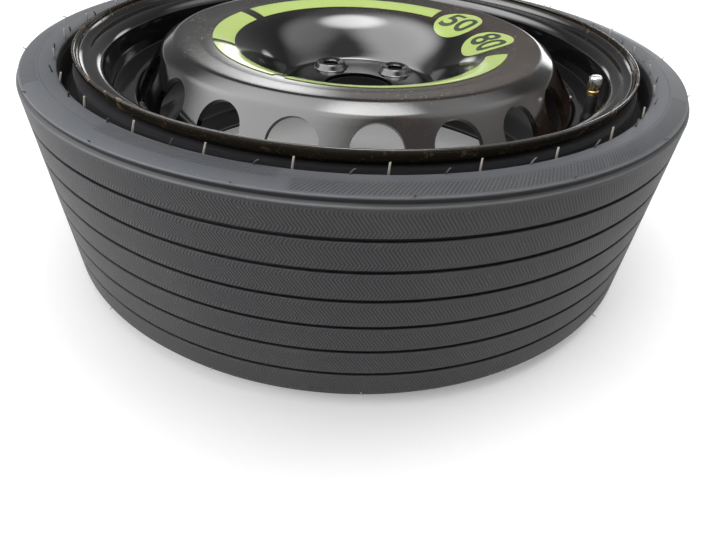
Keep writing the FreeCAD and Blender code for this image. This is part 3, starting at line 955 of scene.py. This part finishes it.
def ring_of_copies(
    name,
    copy,
    finish,
    count,
    radius,
    height,
    first,
    lean=0.0,
    sway=0.0,
    shortest=1.0,
    longest=1.0,
    seed=1,
):
    """Piece made of copies on a circle; radius and height in millimetres, angles in degrees."""
    values = {
        "Copy": copy,
        "Finish": finish,
        "Count": count,
        "Radius": radius * MM,
        "Height": height * MM,
        "First bearing": math.radians(first),
        "Lean": math.radians(lean),
        "Sway": math.radians(sway),
        "Shortest": shortest,
        "Longest": longest,
        "Seed": seed,
    }
    piece = bpy.data.objects.new(name, bpy.data.meshes.new(name))
    bpy.context.scene.collection.objects.link(piece)
    modifier = piece.modifiers.new("copies", "NODES")
    modifier.node_group = ring_tree
    for socket in ring_tree.interface.items_tree:
        if socket.in_out == "INPUT":
            modifier[socket.identifier] = values[socket.name]
    baked(piece)
    shade(piece.data, 40.0)
    bpy.data.objects.remove(copy)
    return piece


# Rim
def ledge_face(radius):
    """Height of the ledge's outboard face at a radius."""
    return ledge_height + ledge_slope * (radius - valve_radius)


def rim_line():
    """Tyre side of the rim, from the outboard lip over the drop centre to the inboard lip."""
    hook = math.radians(flange_hook)
    reach = flange_curl * math.tan((math.pi / 2 + hook) / 2)
    curl_radius = curl_centre_radius + reach
    tip_radius = curl_radius - (reach + lip_run) * math.sin(hook)
    tip_rise = (reach + lip_run) * math.cos(hook)
    foot_radius = seat_radius - taper * seat_length
    foot = half_width - seat_length
    hump_radius = foot_radius + hump_height
    ledge_back = rim_sheet / ledge_lean
    well_top = ledge_face(well_radius) - ledge_back
    well_end = well_top - well_length
    shelf_radius = seat_radius - shelf_drop
    inner_foot = rim_mid - foot
    return [
        (tip_radius, rim_mid + half_width + tip_rise, 0),
        (curl_radius, rim_mid + half_width, flange_curl),
        (seat_radius, rim_mid + half_width, seat_fillet),
        (foot_radius, rim_mid + foot, 2 * hump_round),
        (hump_radius, ledge_face(hump_radius) - ledge_back, hump_round),
        (well_radius, well_top, well_round),
        (well_radius, well_end, slope_round),
        (shelf_radius, well_end - slope_run, slope_round),
        (shelf_radius, inner_foot + 2 * inner_hump_run, 2 * hump_round),
        (hump_radius, inner_foot + inner_hump_run, hump_round),
        (foot_radius, inner_foot, 2 * hump_round),
        (seat_radius, rim_mid - half_width, seat_fillet),
        (curl_radius, rim_mid - half_width, flange_curl),
        (tip_radius, rim_mid - half_width - tip_rise, 0),
    ]


def make_rim():
    points = rounded_path(sheet_outline(rim_line(), -rim_sheet, lip_edge_round))
    rim = finished(turned(divided(points, 12.0), 320), "rim_shell", rim_paint)
    hole = bmesh.new()
    outline = [(0, -9), (valve_hole_radius, -9), (valve_hole_radius, 9), (0, 9)]
    place = valve_place.copy()
    place.translation = place.translation / MM
    cylinder_cutter(hole, outline, 48, place)
    punched(rim, hole)
    settle(rim, "wheel", "rim_paint", "rim")


# Disc
def disc_line():
    """Outboard face of the disc, from the hub bore over the crown to the end of the skirt."""
    return [
        (hub_bore_radius, disc_sheet, 0),
        (face_radius, disc_sheet, face_round),
        (bowl_radius, bowl_height, bowl_round),
        (crown_radius, crown_height, crown_round),
        (crest_radius, crest_height, crest_round),
        (shoulder_radius, shoulder_top, shoulder_round),
        (skirt_radius, skirt_top, skirt_round),
        (skirt_radius, skirt_top - skirt_length, 0),
    ]


def smooth(value):
    """Smooth step of a value that is first held between 0 and 1."""
    value = min(max(value, 0.0), 1.0)
    return value * value * (3 - 2 * value)


def boss_lift(r, z, bearing):
    """Height that the raised bolt bosses add to the two faces of the sheet."""
    if r > face_radius + face_round:
        return 0.0
    sector = math.radians(360 / bolt_count)
    offset = (bearing + sector / 2) % sector - sector / 2
    square = r * r + bolt_circle_radius ** 2 - 2 * r * bolt_circle_radius * math.cos(offset)
    away = math.sqrt(max(square, 0.0))
    inward = boss_wall * 0.8 if z < disc_sheet / 2 else 0.0
    return boss_height * smooth((boss_foot - inward - away) / (boss_foot - boss_top))


def make_disc():
    outline = sheet_outline(disc_line(), -disc_sheet, 0.7)
    points = []
    for r, z in divided(rounded_path(outline, turn=7.0), 5.0):
        points.append((r, z))
    dense = []
    for index, (r0, z0) in enumerate(points):
        r1, z1 = points[(index + 1) % len(points)]
        steps = max(1, math.ceil(math.hypot(r1 - r0, z1 - z0) / 1.2)) if max(r0, r1) < 76 else 1
        for step in range(steps):
            dense.append((r0 + (r1 - r0) * step / steps, z0 + (z1 - z0) * step / steps))
    disc = finished(turned(dense, 360, boss_lift), "disc_pressing", disc_paint)
    holes = bmesh.new()
    top = disc_sheet + boss_height
    lean = math.radians(cone_angle)
    vent_height = shoulder_top - cone_slope * (vent_radius - shoulder_radius)
    reach = 4 * disc_sheet
    for index in range(vent_count):
        turn = Matrix.Rotation(math.radians(vent_bearing + index * 360 / vent_count - 90), 4, "Z")
        place = turn @ Matrix.Translation((vent_radius, 0, vent_height)) @ Matrix.Rotation(lean, 4, "Y")
        outline = [(0, -reach), (vent_hole_radius, -reach), (vent_hole_radius, reach), (0, reach)]
        cylinder_cutter(holes, outline, 72, place)
    seat_rise = (bolt_seat_radius - bolt_hole_radius) / bolt_seat_depth
    bolt = [
        (0, -5),
        (bolt_hole_radius, -5),
        (bolt_hole_radius, top - bolt_seat_depth),
        (bolt_seat_radius + seat_rise, top + 1),
        (0, top + 1),
    ]
    for index in range(bolt_count):
        turn = Matrix.Rotation(math.radians(index * 360 / bolt_count - 90), 4, "Z")
        cylinder_cutter(holes, bolt, 64, turn @ Matrix.Translation((bolt_circle_radius, 0, 0)))
    punched(disc, holes)
    settle(disc, "wheel", "disc_paint", "wheel_disc")


def make_welds():
    """Rippled weld runs in the groove between the disc's cone and the rim's ledge."""
    rings = 26
    sides = 14
    bead = bmesh.new()
    loops = []
    for step in range(rings + 1):
        along = step / rings
        bearing = math.radians((along - 0.5) * weld_span)
        end = math.sqrt(max(1 - (2 * along - 1) ** 8, 0.0))
        swell = weld_radius * end * (1 + 0.06 * math.cos(along * 2 * math.pi * 8))
        loop = []
        for side in range(sides):
            angle = 2 * math.pi * side / sides
            r = skirt_radius + swell * math.cos(angle)
            z = swell * math.sin(angle)
            loop.append(bead.verts.new((r * math.sin(bearing), skirt_radius - r * math.cos(bearing), z)))
        loops.append(loop)
    for loop, after in zip(loops, loops[1:]):
        for side in range(sides):
            ahead = (side + 1) % sides
            bead.faces.new([loop[side], loop[ahead], after[ahead], after[side]])
    copy = finished(bead, "weld_run", weld_paint)
    welds = ring_of_copies("weld_runs", copy, weld_paint, weld_count, skirt_radius, skirt_top, weld_bearing)
    settle(welds, "wheel", "weld_paint", "weld_beads")


# Tyre
def tread_half():
    """Tread surface above the middle of the tyre: ribs and the grooves between them."""
    corners = []
    for index in range(groove_count // 2):
        middle = (index + 0.5) * rib_pitch
        low = middle - groove_width / 2
        high = middle + groove_width / 2
        floor = tread_radius - groove_depth
        corners += [(tread_radius, low, 0.45), (floor, low, 0.5)]
        corners += [(floor, high, 0.5), (tread_radius, high, 0.45)]
    return corners


def wall_half():
    """From the tread's edge over the folded ring, down the valley, round the bead and back inside."""
    edge = tread_width / 2
    nose_radius = lip_radius + bead_nose
    fold_radius = nose_radius + valley_width
    fold_inside = fold_radius + sidewall
    ring_top = edge + shoulder_height
    shoulder_line = tread_radius - tread_edge_step
    crown_line = (fold_radius + shoulder_line) / 2
    valley_floor = ring_top + ring_crown - valley_depth
    seat_gap = bead_clearance / math.cos(math.radians(seat_taper))
    flank = half_width - bead_clearance
    heel = seat_radius - taper * bead_clearance + seat_gap
    toe = heel - taper * (bead_width - bead_clearance)
    climb = math.radians(bead_rise)
    curl_gap = flange_curl + bead_clearance
    curl_start = curl_centre_radius + curl_gap * math.tan(climb / 2)
    nose = flank + (nose_radius - curl_start) * math.tan(climb)
    cavity_top = ring_top - sidewall
    return [
        (tread_radius, edge, 1.0),
        (shoulder_line - shoulder_undercut, edge + tread_edge_rise, 0.3),
        (shoulder_line, ring_top, shoulder_edge_round),
        (crown_line, ring_top + ring_crown, ring_round),
        (fold_radius, ring_top, fold_round),
        (fold_radius, valley_floor, valley_round),
        (nose_radius, valley_floor, valley_round),
        (nose_radius, nose, 3.0),
        (curl_start, flank, curl_gap),
        (heel, flank, seat_fillet - bead_clearance),
        (toe, half_width - bead_width, 2.0),
        (nose_radius - sidewall / 2, valley_floor - sidewall, 2 * valley_round),
        (fold_inside, valley_floor - sidewall, valley_round + sidewall),
        (fold_inside, cavity_top, 3.0),
        (tread_radius - tread_thickness, cavity_top, 3.0),
    ]


def make_tyre():
    upper = tread_half() + wall_half()
    lower = [(r, -z, rounding) for r, z, rounding in upper[::-1]]
    outline = [(r, z + rim_mid, rounding) for r, z, rounding in lower + upper]
    points = rounded_path(outline, turn=12.0)
    tyre = finished(turned(points, 360), "tyre_casing", tyre_rubber, sharp=40.0)
    settle(tyre, "wheel", "tyre_rubber", "tyre")


def hair(name, length, thickness, bend, finish):
    """Thin upright hair that bends to one side, with its way to the tip kept as an attribute."""
    rings = 6
    sides = 6
    bm = bmesh.new()
    tip = bm.verts.layers.float.new("tip")
    loops = []
    for step in range(rings + 1):
        along = step / rings
        width = thickness * (1 - 0.25 * along) / 2
        loop = []
        for side in range(sides):
            angle = 2 * math.pi * side / sides
            aside = width * math.cos(angle) + bend * along * along
            point = (aside, width * math.sin(angle), length * along - 0.4)
            vert = bm.verts.new(point)
            vert[tip] = along
            loop.append(vert)
        loops.append(loop)
    for loop, after in zip(loops, loops[1:]):
        for side in range(sides):
            ahead = (side + 1) % sides
            bm.faces.new([loop[side], loop[ahead], after[ahead], after[side]])
    bm.faces.new(loops[0][::-1])
    bm.faces.new(loops[-1])
    return finished(bm, name, finish)


def make_hairs():
    """Moulding hairs along the fold, on the shoulder and at the tread's lower edge."""
    ring_height = rim_mid + tread_width / 2 + shoulder_height
    fold = lip_radius + bead_nose + valley_width
    low_edge = rim_mid - tread_width / 2
    rows = {
        "hairs_fold": (
            (7.6, 1.5, 0.4, pale_hair),
            (30, fold + 1.2, ring_height + 0.2, 8.7),
            (-16.0, 7.0, 0.85, 1.1, 3),
        ),
        "hairs_valley": (
            (5.4, 1.3, 2.4, dark_hair),
            (30, fold + 3.2, ring_height + 0.6, 3.9),
            (-6.0, 16.0, 0.7, 1.1, 5),
        ),
        "hairs_shoulder": (
            (3.6, 0.8, 1.2, dark_hair),
            (18, tread_radius - 4.0, ring_height + 0.6, 11.0),
            (50.0, 16.0, 0.5, 1.0, 9),
        ),
        "hairs_tread": (
            (5.0, 0.9, 0.5, pale_hair),
            (16, tread_radius - 0.8, low_edge + 1.5, 6.7),
            (105.0, 10.0, 0.7, 1.1, 4),
        ),
    }
    for name, (shape, place, spread) in rows.items():
        copy = hair(name + "_one", *shape)
        finish = shape[-1]
        row = ring_of_copies(name, copy, finish, *place, *spread)
        settle(row, "wheel", "tyre_rubber")


# Valve
def turned_on_valve(name, outline, finish, segments=64, sharp=32.0):
    """Round valve piece from its closed half outline."""
    return finished(turned(rounded_path(outline, turn=15.0), segments), name, finish, valve_place, sharp)


def make_valve():
    neck = valve_hole_radius - valve_fit
    button_top = -rim_sheet - valve_fit
    rubber = turned_on_valve("valve_rubber_body", [
        (stem_radius, button_top - valve_button_height, 0),
        (stem_radius + 1.5, button_top - valve_button_height, 0.6),
        (valve_button_radius, button_top - valve_button_height / 2, 1.5),
        (valve_button_radius, button_top, 0.4),
        (neck, button_top, 0),
        (neck, valve_fit, 0),
        (valve_collar_radius, valve_fit, 0.08),
        (valve_collar_radius, valve_collar_height, 0.9),
        (valve_waist_radius, valve_waist_height, 3.0),
        (valve_rubber_top_radius, valve_rubber_height, 0.5),
        (stem_radius, valve_rubber_height, 0),
    ], valve_black_rubber)
    settle(rubber, "wheel", "valve_black_rubber", "valve_rubber")

    ring_top = valve_rubber_height + stem_ring_height
    thread = []
    turns = int((stem_height - 0.8 - ring_top) / thread_pitch)
    for index in range(turns):
        low = ring_top + index * thread_pitch
        thread.append((stem_thread_radius - thread_depth, low, 0.1))
        thread.append((stem_thread_radius, low + thread_pitch / 2, 0.1))
    bore_floor = stem_height - core_bore_depth
    stem = turned_on_valve("valve_stem_tube", [
        (air_bore_radius, -stem_tail, 0),
        (stem_radius, -stem_tail, 0.3),
        (stem_radius, valve_rubber_height, 0),
        (stem_ring_radius, valve_rubber_height, 0.3),
        (stem_ring_radius, ring_top, 0.5),
        *thread,
        (stem_thread_radius - thread_depth, stem_height - 0.5, 0),
        (stem_thread_radius - 0.6, stem_height, 0.15),
        (core_bore_radius, stem_height, 0.15),
        (core_bore_radius, bore_floor, 0),
        (air_bore_radius, bore_floor, 0),
    ], valve_brass)
    settle(stem, "wheel", "valve_brass", "valve_stem")

    foot = ring_top + cap_gap
    top = foot + cap_height
    bore = stem_thread_radius + cap_bore_clearance
    knurl_foot = foot + cap_skirt_height
    knurl_top = top - cap_top_bevel
    core = cap_head_radius - 0.35
    cap = finished(turned(rounded_path([
        (bore, foot, 0.1),
        (cap_skirt_radius, foot, 0.25),
        (cap_skirt_radius, knurl_foot, 0.2),
        (core, knurl_foot, 0.15),
        (core, knurl_top, 0.3),
        (core - cap_top_bevel + 0.35, top, 0.35),
        (0.02, top, 0),
        (0.02, top - cap_roof, 0),
        (bore, top - cap_roof, 0),
    ], turn=15.0), 72), "valve_cap_shell", cap_metal, valve_place)
    settle(cap, "cap", "cap_metal", "valve_cap")
    ridge = bmesh.new()
    width = 2 * math.pi * cap_head_radius / cap_knurl_count * 0.42
    low = knurl_foot + 0.1 - knurl_foot
    high = knurl_top - knurl_foot
    section = [(-width, 0.35), (-width * 0.35, -0.28), (width * 0.35, -0.28), (width, 0.35)]
    loops = []
    for z, depth in ((low, 0.25), (low + 0.35, 0.0), (high - 0.35, 0.0), (high, 0.25)):
        loops.append([ridge.verts.new((x, y + depth, z)) for x, y in section])
    for loop, after in zip(loops, loops[1:]):
        for side in range(4):
            ahead = (side + 1) % 4
            ridge.faces.new([loop[side], loop[ahead], after[ahead], after[side]])
    ridge.faces.new(loops[0][::-1])
    ridge.faces.new(loops[-1])
    copy = finished(ridge, "cap_ridge", cap_metal)
    knurl_radius = cap_head_radius - 0.3
    knurl = ring_of_copies("valve_cap_knurl", copy, cap_metal, cap_knurl_count, knurl_radius, knurl_foot, 0.0)
    knurl.data.transform(valve_place)
    settle(knurl, "cap", "cap_metal")


def make_core_spring():
    """Coil round the core's pin, made at rest, though the real one shortens as the pin is pressed."""
    coil = (core_cavity_radius + pin_radius) / 2
    cavity_foot = stem_height - core_sink - core_length + core_floor
    collar_foot = cavity_foot + core_cavity_length - pin_clearance - pin_collar_height
    foot = cavity_foot + spring_wire_radius + valve_fit
    climb = collar_foot - valve_fit - spring_wire_radius - foot
    around = 36
    sides = 10
    bm = bmesh.new()
    rows = []
    for step in range(spring_turns * around + 1):
        angle = 2 * math.pi * step / around
        row = []
        for side in range(sides):
            turn = 2 * math.pi * side / sides
            radius = coil + spring_wire_radius * math.cos(turn)
            height = foot + climb * step / (spring_turns * around) + spring_wire_radius * math.sin(turn)
            row.append(bm.verts.new((radius * math.cos(angle), radius * math.sin(angle), height)))
        rows.append(row)
    for low, high in zip(rows, rows[1:]):
        for side in range(sides):
            ahead = (side + 1) % sides
            bm.faces.new([low[side], low[ahead], high[ahead], high[side]])
    bm.faces.new(rows[0])
    bm.faces.new(rows[-1])
    spring = finished(bm, "valve_core_coil", spring_steel, valve_place)
    settle(spring, "wheel", "spring_steel", "valve_core_spring")
    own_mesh(spring)


# Labels
def crown_face():
    """Points of the disc's outboard face, by radius."""
    points = rounded_path(disc_line(), closed=False, turn=2.0)
    return sorted(point for point in points if hub_bore_radius < point[0] < crest_radius)


crown_points = crown_face()


def crown_height_at(radius):
    """Height of the disc's outboard face at a radius."""
    for (r0, z0), (r1, z1) in zip(crown_points, crown_points[1:]):
        if r0 <= radius <= r1:
            return z0 + (z1 - z0) * (radius - r0) / max(r1 - r0, 1e-9)
    return crown_points[-1][1]


def radius_along(start, run):
    """Radius reached from another by a run along the disc's face, outward for a positive run."""
    step = 0.25 if run > 0 else -0.25
    radius = start
    for _ in range(int(abs(run) / 0.25)):
        slope = (crown_height_at(radius + 0.05) - crown_height_at(radius - 0.05)) / 0.1
        radius += step / math.hypot(1, slope)
    slope = (crown_height_at(radius + 0.05) - crown_height_at(radius - 0.05)) / 0.1
    return radius + math.fmod(run, 0.25) / math.hypot(1, slope)


def laid(bearing, radius, outward, right):
    """Plan point of a film laid on the disc's face, by its lengths from a place on it."""
    reach = radius_along(radius, outward)
    angle = math.radians(bearing) - right / reach
    return reach * math.sin(angle), -reach * math.cos(angle)


def draped(name, grid, around, finish, thickness):
    """Film laid on the crown through a grid of plan points, then given its thickness outward."""
    bm = bmesh.new()
    rows = []
    for line in grid:
        row = []
        for x, y in line:
            row.append(bm.verts.new((x, y, crown_height_at(math.hypot(x, y)) + film_gap)))
        rows.append(row)
    for low, high in zip(rows, rows[1:]):
        count = len(low)
        for index in range(count if around else count - 1):
            ahead = (index + 1) % count
            bm.faces.new([low[index], low[ahead], high[ahead], high[index]])
    return thickened(bm, name, finish, thickness)


def thickened(bm, name, finish, thickness):
    """Open film turned to face up and given its thickness upward."""
    bmesh.ops.remove_doubles(bm, verts=bm.verts, dist=1e-4)
    bmesh.ops.recalc_face_normals(bm, faces=bm.faces)
    if sum(face.normal.z for face in bm.faces) < 0:
        bmesh.ops.reverse_faces(bm, faces=bm.faces)
    bmesh.ops.scale(bm, vec=(MM, MM, MM), verts=bm.verts)
    mesh = bpy.data.meshes.new(name)
    bm.to_mesh(mesh)
    bm.free()
    mesh.materials.append(finish)
    piece = bpy.data.objects.new(name, mesh)
    bpy.context.scene.collection.objects.link(piece)
    wall = piece.modifiers.new("thickness", "SOLIDIFY")
    wall.thickness = thickness * MM
    wall.offset = 1.0
    baked(piece)
    shade(piece.data, 50.0)
    return piece


def make_strips():
    for name, (start, end) in strip_spans.items():
        steps = math.ceil(end - start)
        grid = []
        for row in range(11):
            radius = strip_inner_radius + (strip_outer_radius - strip_inner_radius) * row / 10
            line = []
            for step in range(steps + 1):
                bearing = math.radians(start + (end - start) * step / steps)
                x = label_shift[0] + radius * math.sin(bearing)
                y = label_shift[1] - radius * math.cos(bearing)
                line.append((x, y))
            grid.append(line)
        strip = draped(name + "_film", grid, False, label_film, film)
        settle(strip, "wheel", "label_film", name)


def make_label_discs():
    for name, (bearing, radius, numeral) in label_disc_places.items():
        grid = []
        for row in range(13):
            reach = max(label_disc_radius * row / 12, 0.001)
            line = []
            for step in range(72):
                turn = 2 * math.pi * step / 72
                line.append(laid(bearing, radius, reach * math.sin(turn), reach * math.cos(turn)))
            grid.append(line)
        disc = draped(name + "_film", grid, True, label_film, film)
        settle(disc, "wheel", "label_film", name)
        make_numeral(name + "_numeral", numeral, bearing, radius)


def make_numeral(name, numeral, bearing, radius):
    """Plain printed number on a label disc, with its top outward."""
    text = bpy.data.curves.new(name, "FONT")
    text.body = numeral
    text.align_x = "CENTER"
    text.align_y = "CENTER"
    text.size = numeral_height / 0.7
    text.offset = numeral_swell
    text.resolution_u = 6
    holder = bpy.data.objects.new(name + "_text", text)
    bpy.context.scene.collection.objects.link(holder)
    graph = bpy.context.evaluated_depsgraph_get()
    flat = bpy.data.meshes.new_from_object(holder.evaluated_get(graph))
    bpy.data.objects.remove(holder)
    bm = bmesh.new()
    bm.from_mesh(flat)
    bpy.data.meshes.remove(flat)
    bmesh.ops.triangulate(bm, faces=bm.faces)
    bmesh.ops.subdivide_edges(bm, edges=bm.edges, cuts=2, use_grid_fill=True)
    for vert in bm.verts:
        x, y = laid(bearing, radius, vert.co.y, vert.co.x)
        vert.co = Vector((x, y, crown_height_at(math.hypot(x, y)) + film_gap + film + 0.01))
    piece = thickened(bm, name, numeral_ink, ink)
    settle(piece, "wheel", "label_film")


# CAD pieces that stay as they are get their finishes
def finish_inner_pieces():
    finishes = {
        "valve_core_body": valve_brass,
        "valve_core_pin": valve_brass,
        "valve_core_seal": seal_rubber,
        "valve_cap_seal": seal_rubber,
    }
    for name, finish in finishes.items():
        mesh = nodes[name].data
        mesh.materials.clear()
        mesh.materials.append(finish)


# Floor, light and camera
# Bright parts of the room by azimuth, elevation, angles from full to none, and level
bright_room_parts = {
    "ceiling": (40.0, 84.0, 6.0, 18.0, 16.0),
    "left_side": (-110.0, 58.0, 20.0, 48.0, 9.0),
    "right_side": (80.0, 55.0, 8.0, 34.0, 2.5),
    "low_left": (-13.0, 6.0, 2.0, 8.0, 3.2),
    "low_right": (22.0, 7.0, 2.0, 10.0, 4.5),
}
dim_wall_depth = 0.72


def seen_rays(tree):
    """1 for rays from the camera, off shiny faces and through clear ones, 0 for the rest."""
    path = tree.nodes.new("ShaderNodeLightPath")
    seen = sum_of(tree, "MAXIMUM", path.outputs["Is Camera Ray"], path.outputs["Is Glossy Ray"])
    return sum_of(tree, "MAXIMUM", seen, path.outputs["Is Transmission Ray"])


def make_floor():
    bm = bmesh.new()
    half = 4.0
    level = cad_box[0].z
    corners = [(-half, -half), (half, -half), (half, half), (-half, half)]
    bm.faces.new([bm.verts.new((x, y, level)) for x, y in corners])
    mesh = bpy.data.meshes.new("floor")
    bm.to_mesh(mesh)
    bm.free()
    finish, tree, shader, where = new_finish("floor_white", Roughness=0.6, Specular_IOR_Level=0.2)
    tint = noise(tree, where, 3.0, 3.0)
    white = blend_colour(tree, tint, colour(243, 243, 243), colour(247, 247, 247))
    tree.links.new(white, shader.inputs["Base Color"])
    shader.inputs["Emission Color"].default_value = (1, 1, 1, 1)
    tree.links.new(sum_of(tree, "MULTIPLY", seen_rays(tree), 0.2), shader.inputs["Emission Strength"])
    mesh.materials.append(finish)
    floor = bpy.data.objects.new("floor", mesh)
    bpy.context.scene.collection.objects.link(floor)


def make_lamp(name, place, width, depth, power):
    """Soft lamp that points at the wheel; its mirror image is left to the bright parts of the room."""
    lamp = bpy.data.lights.new(name, "AREA")
    lamp.shape = "RECTANGLE"
    lamp.size = width
    lamp.size_y = depth
    lamp.energy = power
    holder = bpy.data.objects.new(name, lamp)
    bpy.context.scene.collection.objects.link(holder)
    holder.location = place
    holder.rotation_euler = (-Vector(place)).to_track_quat("-Z", "Y").to_euler()
    holder.visible_glossy = False


def bright_part(tree, direction, azimuth, elevation, core, reach, level):
    """Soft-edged bright part of the room, by its direction and its angles from full to none."""
    a = math.radians(azimuth)
    e = math.radians(elevation)
    node = tree.nodes.new("ShaderNodeVectorMath")
    node.operation = "DOT_PRODUCT"
    tree.links.new(direction, node.inputs[0])
    node.inputs[1].default_value = (math.sin(a) * math.cos(e), math.cos(a) * math.cos(e), math.sin(e))
    share = rise(tree, node.outputs["Value"], math.cos(math.radians(reach)), math.cos(math.radians(core)))
    return sum_of(tree, "MULTIPLY", share, level)


def make_light():
    """White room whose bright ceiling and left side show in the paint, and three soft lamps."""
    world = bpy.data.worlds.new("studio")
    bpy.context.scene.world = world
    world.use_nodes = True
    tree = world.node_tree
    background = tree.nodes["Background"]
    background.inputs["Color"].default_value = (1, 1, 1, 1)
    path = tree.nodes.new("ShaderNodeLightPath")
    direction = tree.nodes.new("ShaderNodeTexCoord").outputs["Generated"]
    axes = tree.nodes.new("ShaderNodeSeparateXYZ")
    tree.links.new(direction, axes.inputs[0])
    behind = rise(tree, axes.outputs["Y"], 0.35, 0.65)
    parts = product(tree, behind, band(tree, axes.outputs["Z"], 0.1, 0.85, 0.06), -dim_wall_depth)
    for part in bright_room_parts.values():
        parts = sum_of(tree, "ADD", parts, bright_part(tree, direction, *part))
    shine = sum_of(tree, "MULTIPLY", parts, path.outputs["Is Glossy Ray"])
    plain = between(tree, seen_rays(tree), 0.42, 1.0)
    tree.links.new(sum_of(tree, "ADD", plain, shine), background.inputs["Strength"])
    make_lamp("ceiling_lamp", (0.0, 0.25, 1.7), 1.3, 0.9, 16.0)
    make_lamp("left_lamp", (-1.25, -0.9, 1.05), 1.3, 0.9, 13.0)
    make_lamp("right_lamp", (1.2, 0.7, 1.0), 0.7, 0.7, 6.0)


def make_camera():
    """Camera at the photograph's place, worked out from the rim's and the tread's outlines in it."""
    focal = 512.8
    yaw = 0.0313685
    pitch = 0.6961719
    roll = 0.0615768
    turn = Matrix.Rotation(math.radians(4.5), 3, "Z")
    place = turn @ Vector((0, -0.49294, 0.1821))
    ahead = Vector((math.sin(yaw) * math.cos(pitch), math.cos(yaw) * math.cos(pitch), -math.sin(pitch)))
    right = Vector((math.cos(yaw), -math.sin(yaw), 0))
    up = right.cross(ahead)
    c = math.cos(roll)
    s = math.sin(roll)
    right_rolled = turn @ (right * c + up * s)
    up_rolled = turn @ (up * c - right * s)
    back = turn @ -ahead
    lens = bpy.data.cameras.new("camera")
    lens.sensor_fit = "HORIZONTAL"
    lens.sensor_width = 36.0
    lens.lens = 36.0 * focal / 726
    lens.clip_start = 0.01
    camera = bpy.data.objects.new("camera", lens)
    bpy.context.scene.collection.objects.link(camera)
    axes = Matrix((right_rolled, up_rolled, back)).transposed()
    camera.matrix_world = Matrix.Translation(place) @ axes.to_4x4()
    bpy.context.scene.camera = camera


make_camera()
make_tyre()
make_hairs()
make_rim()
make_disc()
make_welds()
make_valve()
make_core_spring()
make_strips()
make_label_discs()
finish_inner_pieces()
make_floor()
make_light()
bpy.context.scene.view_settings.view_transform = "Standard"
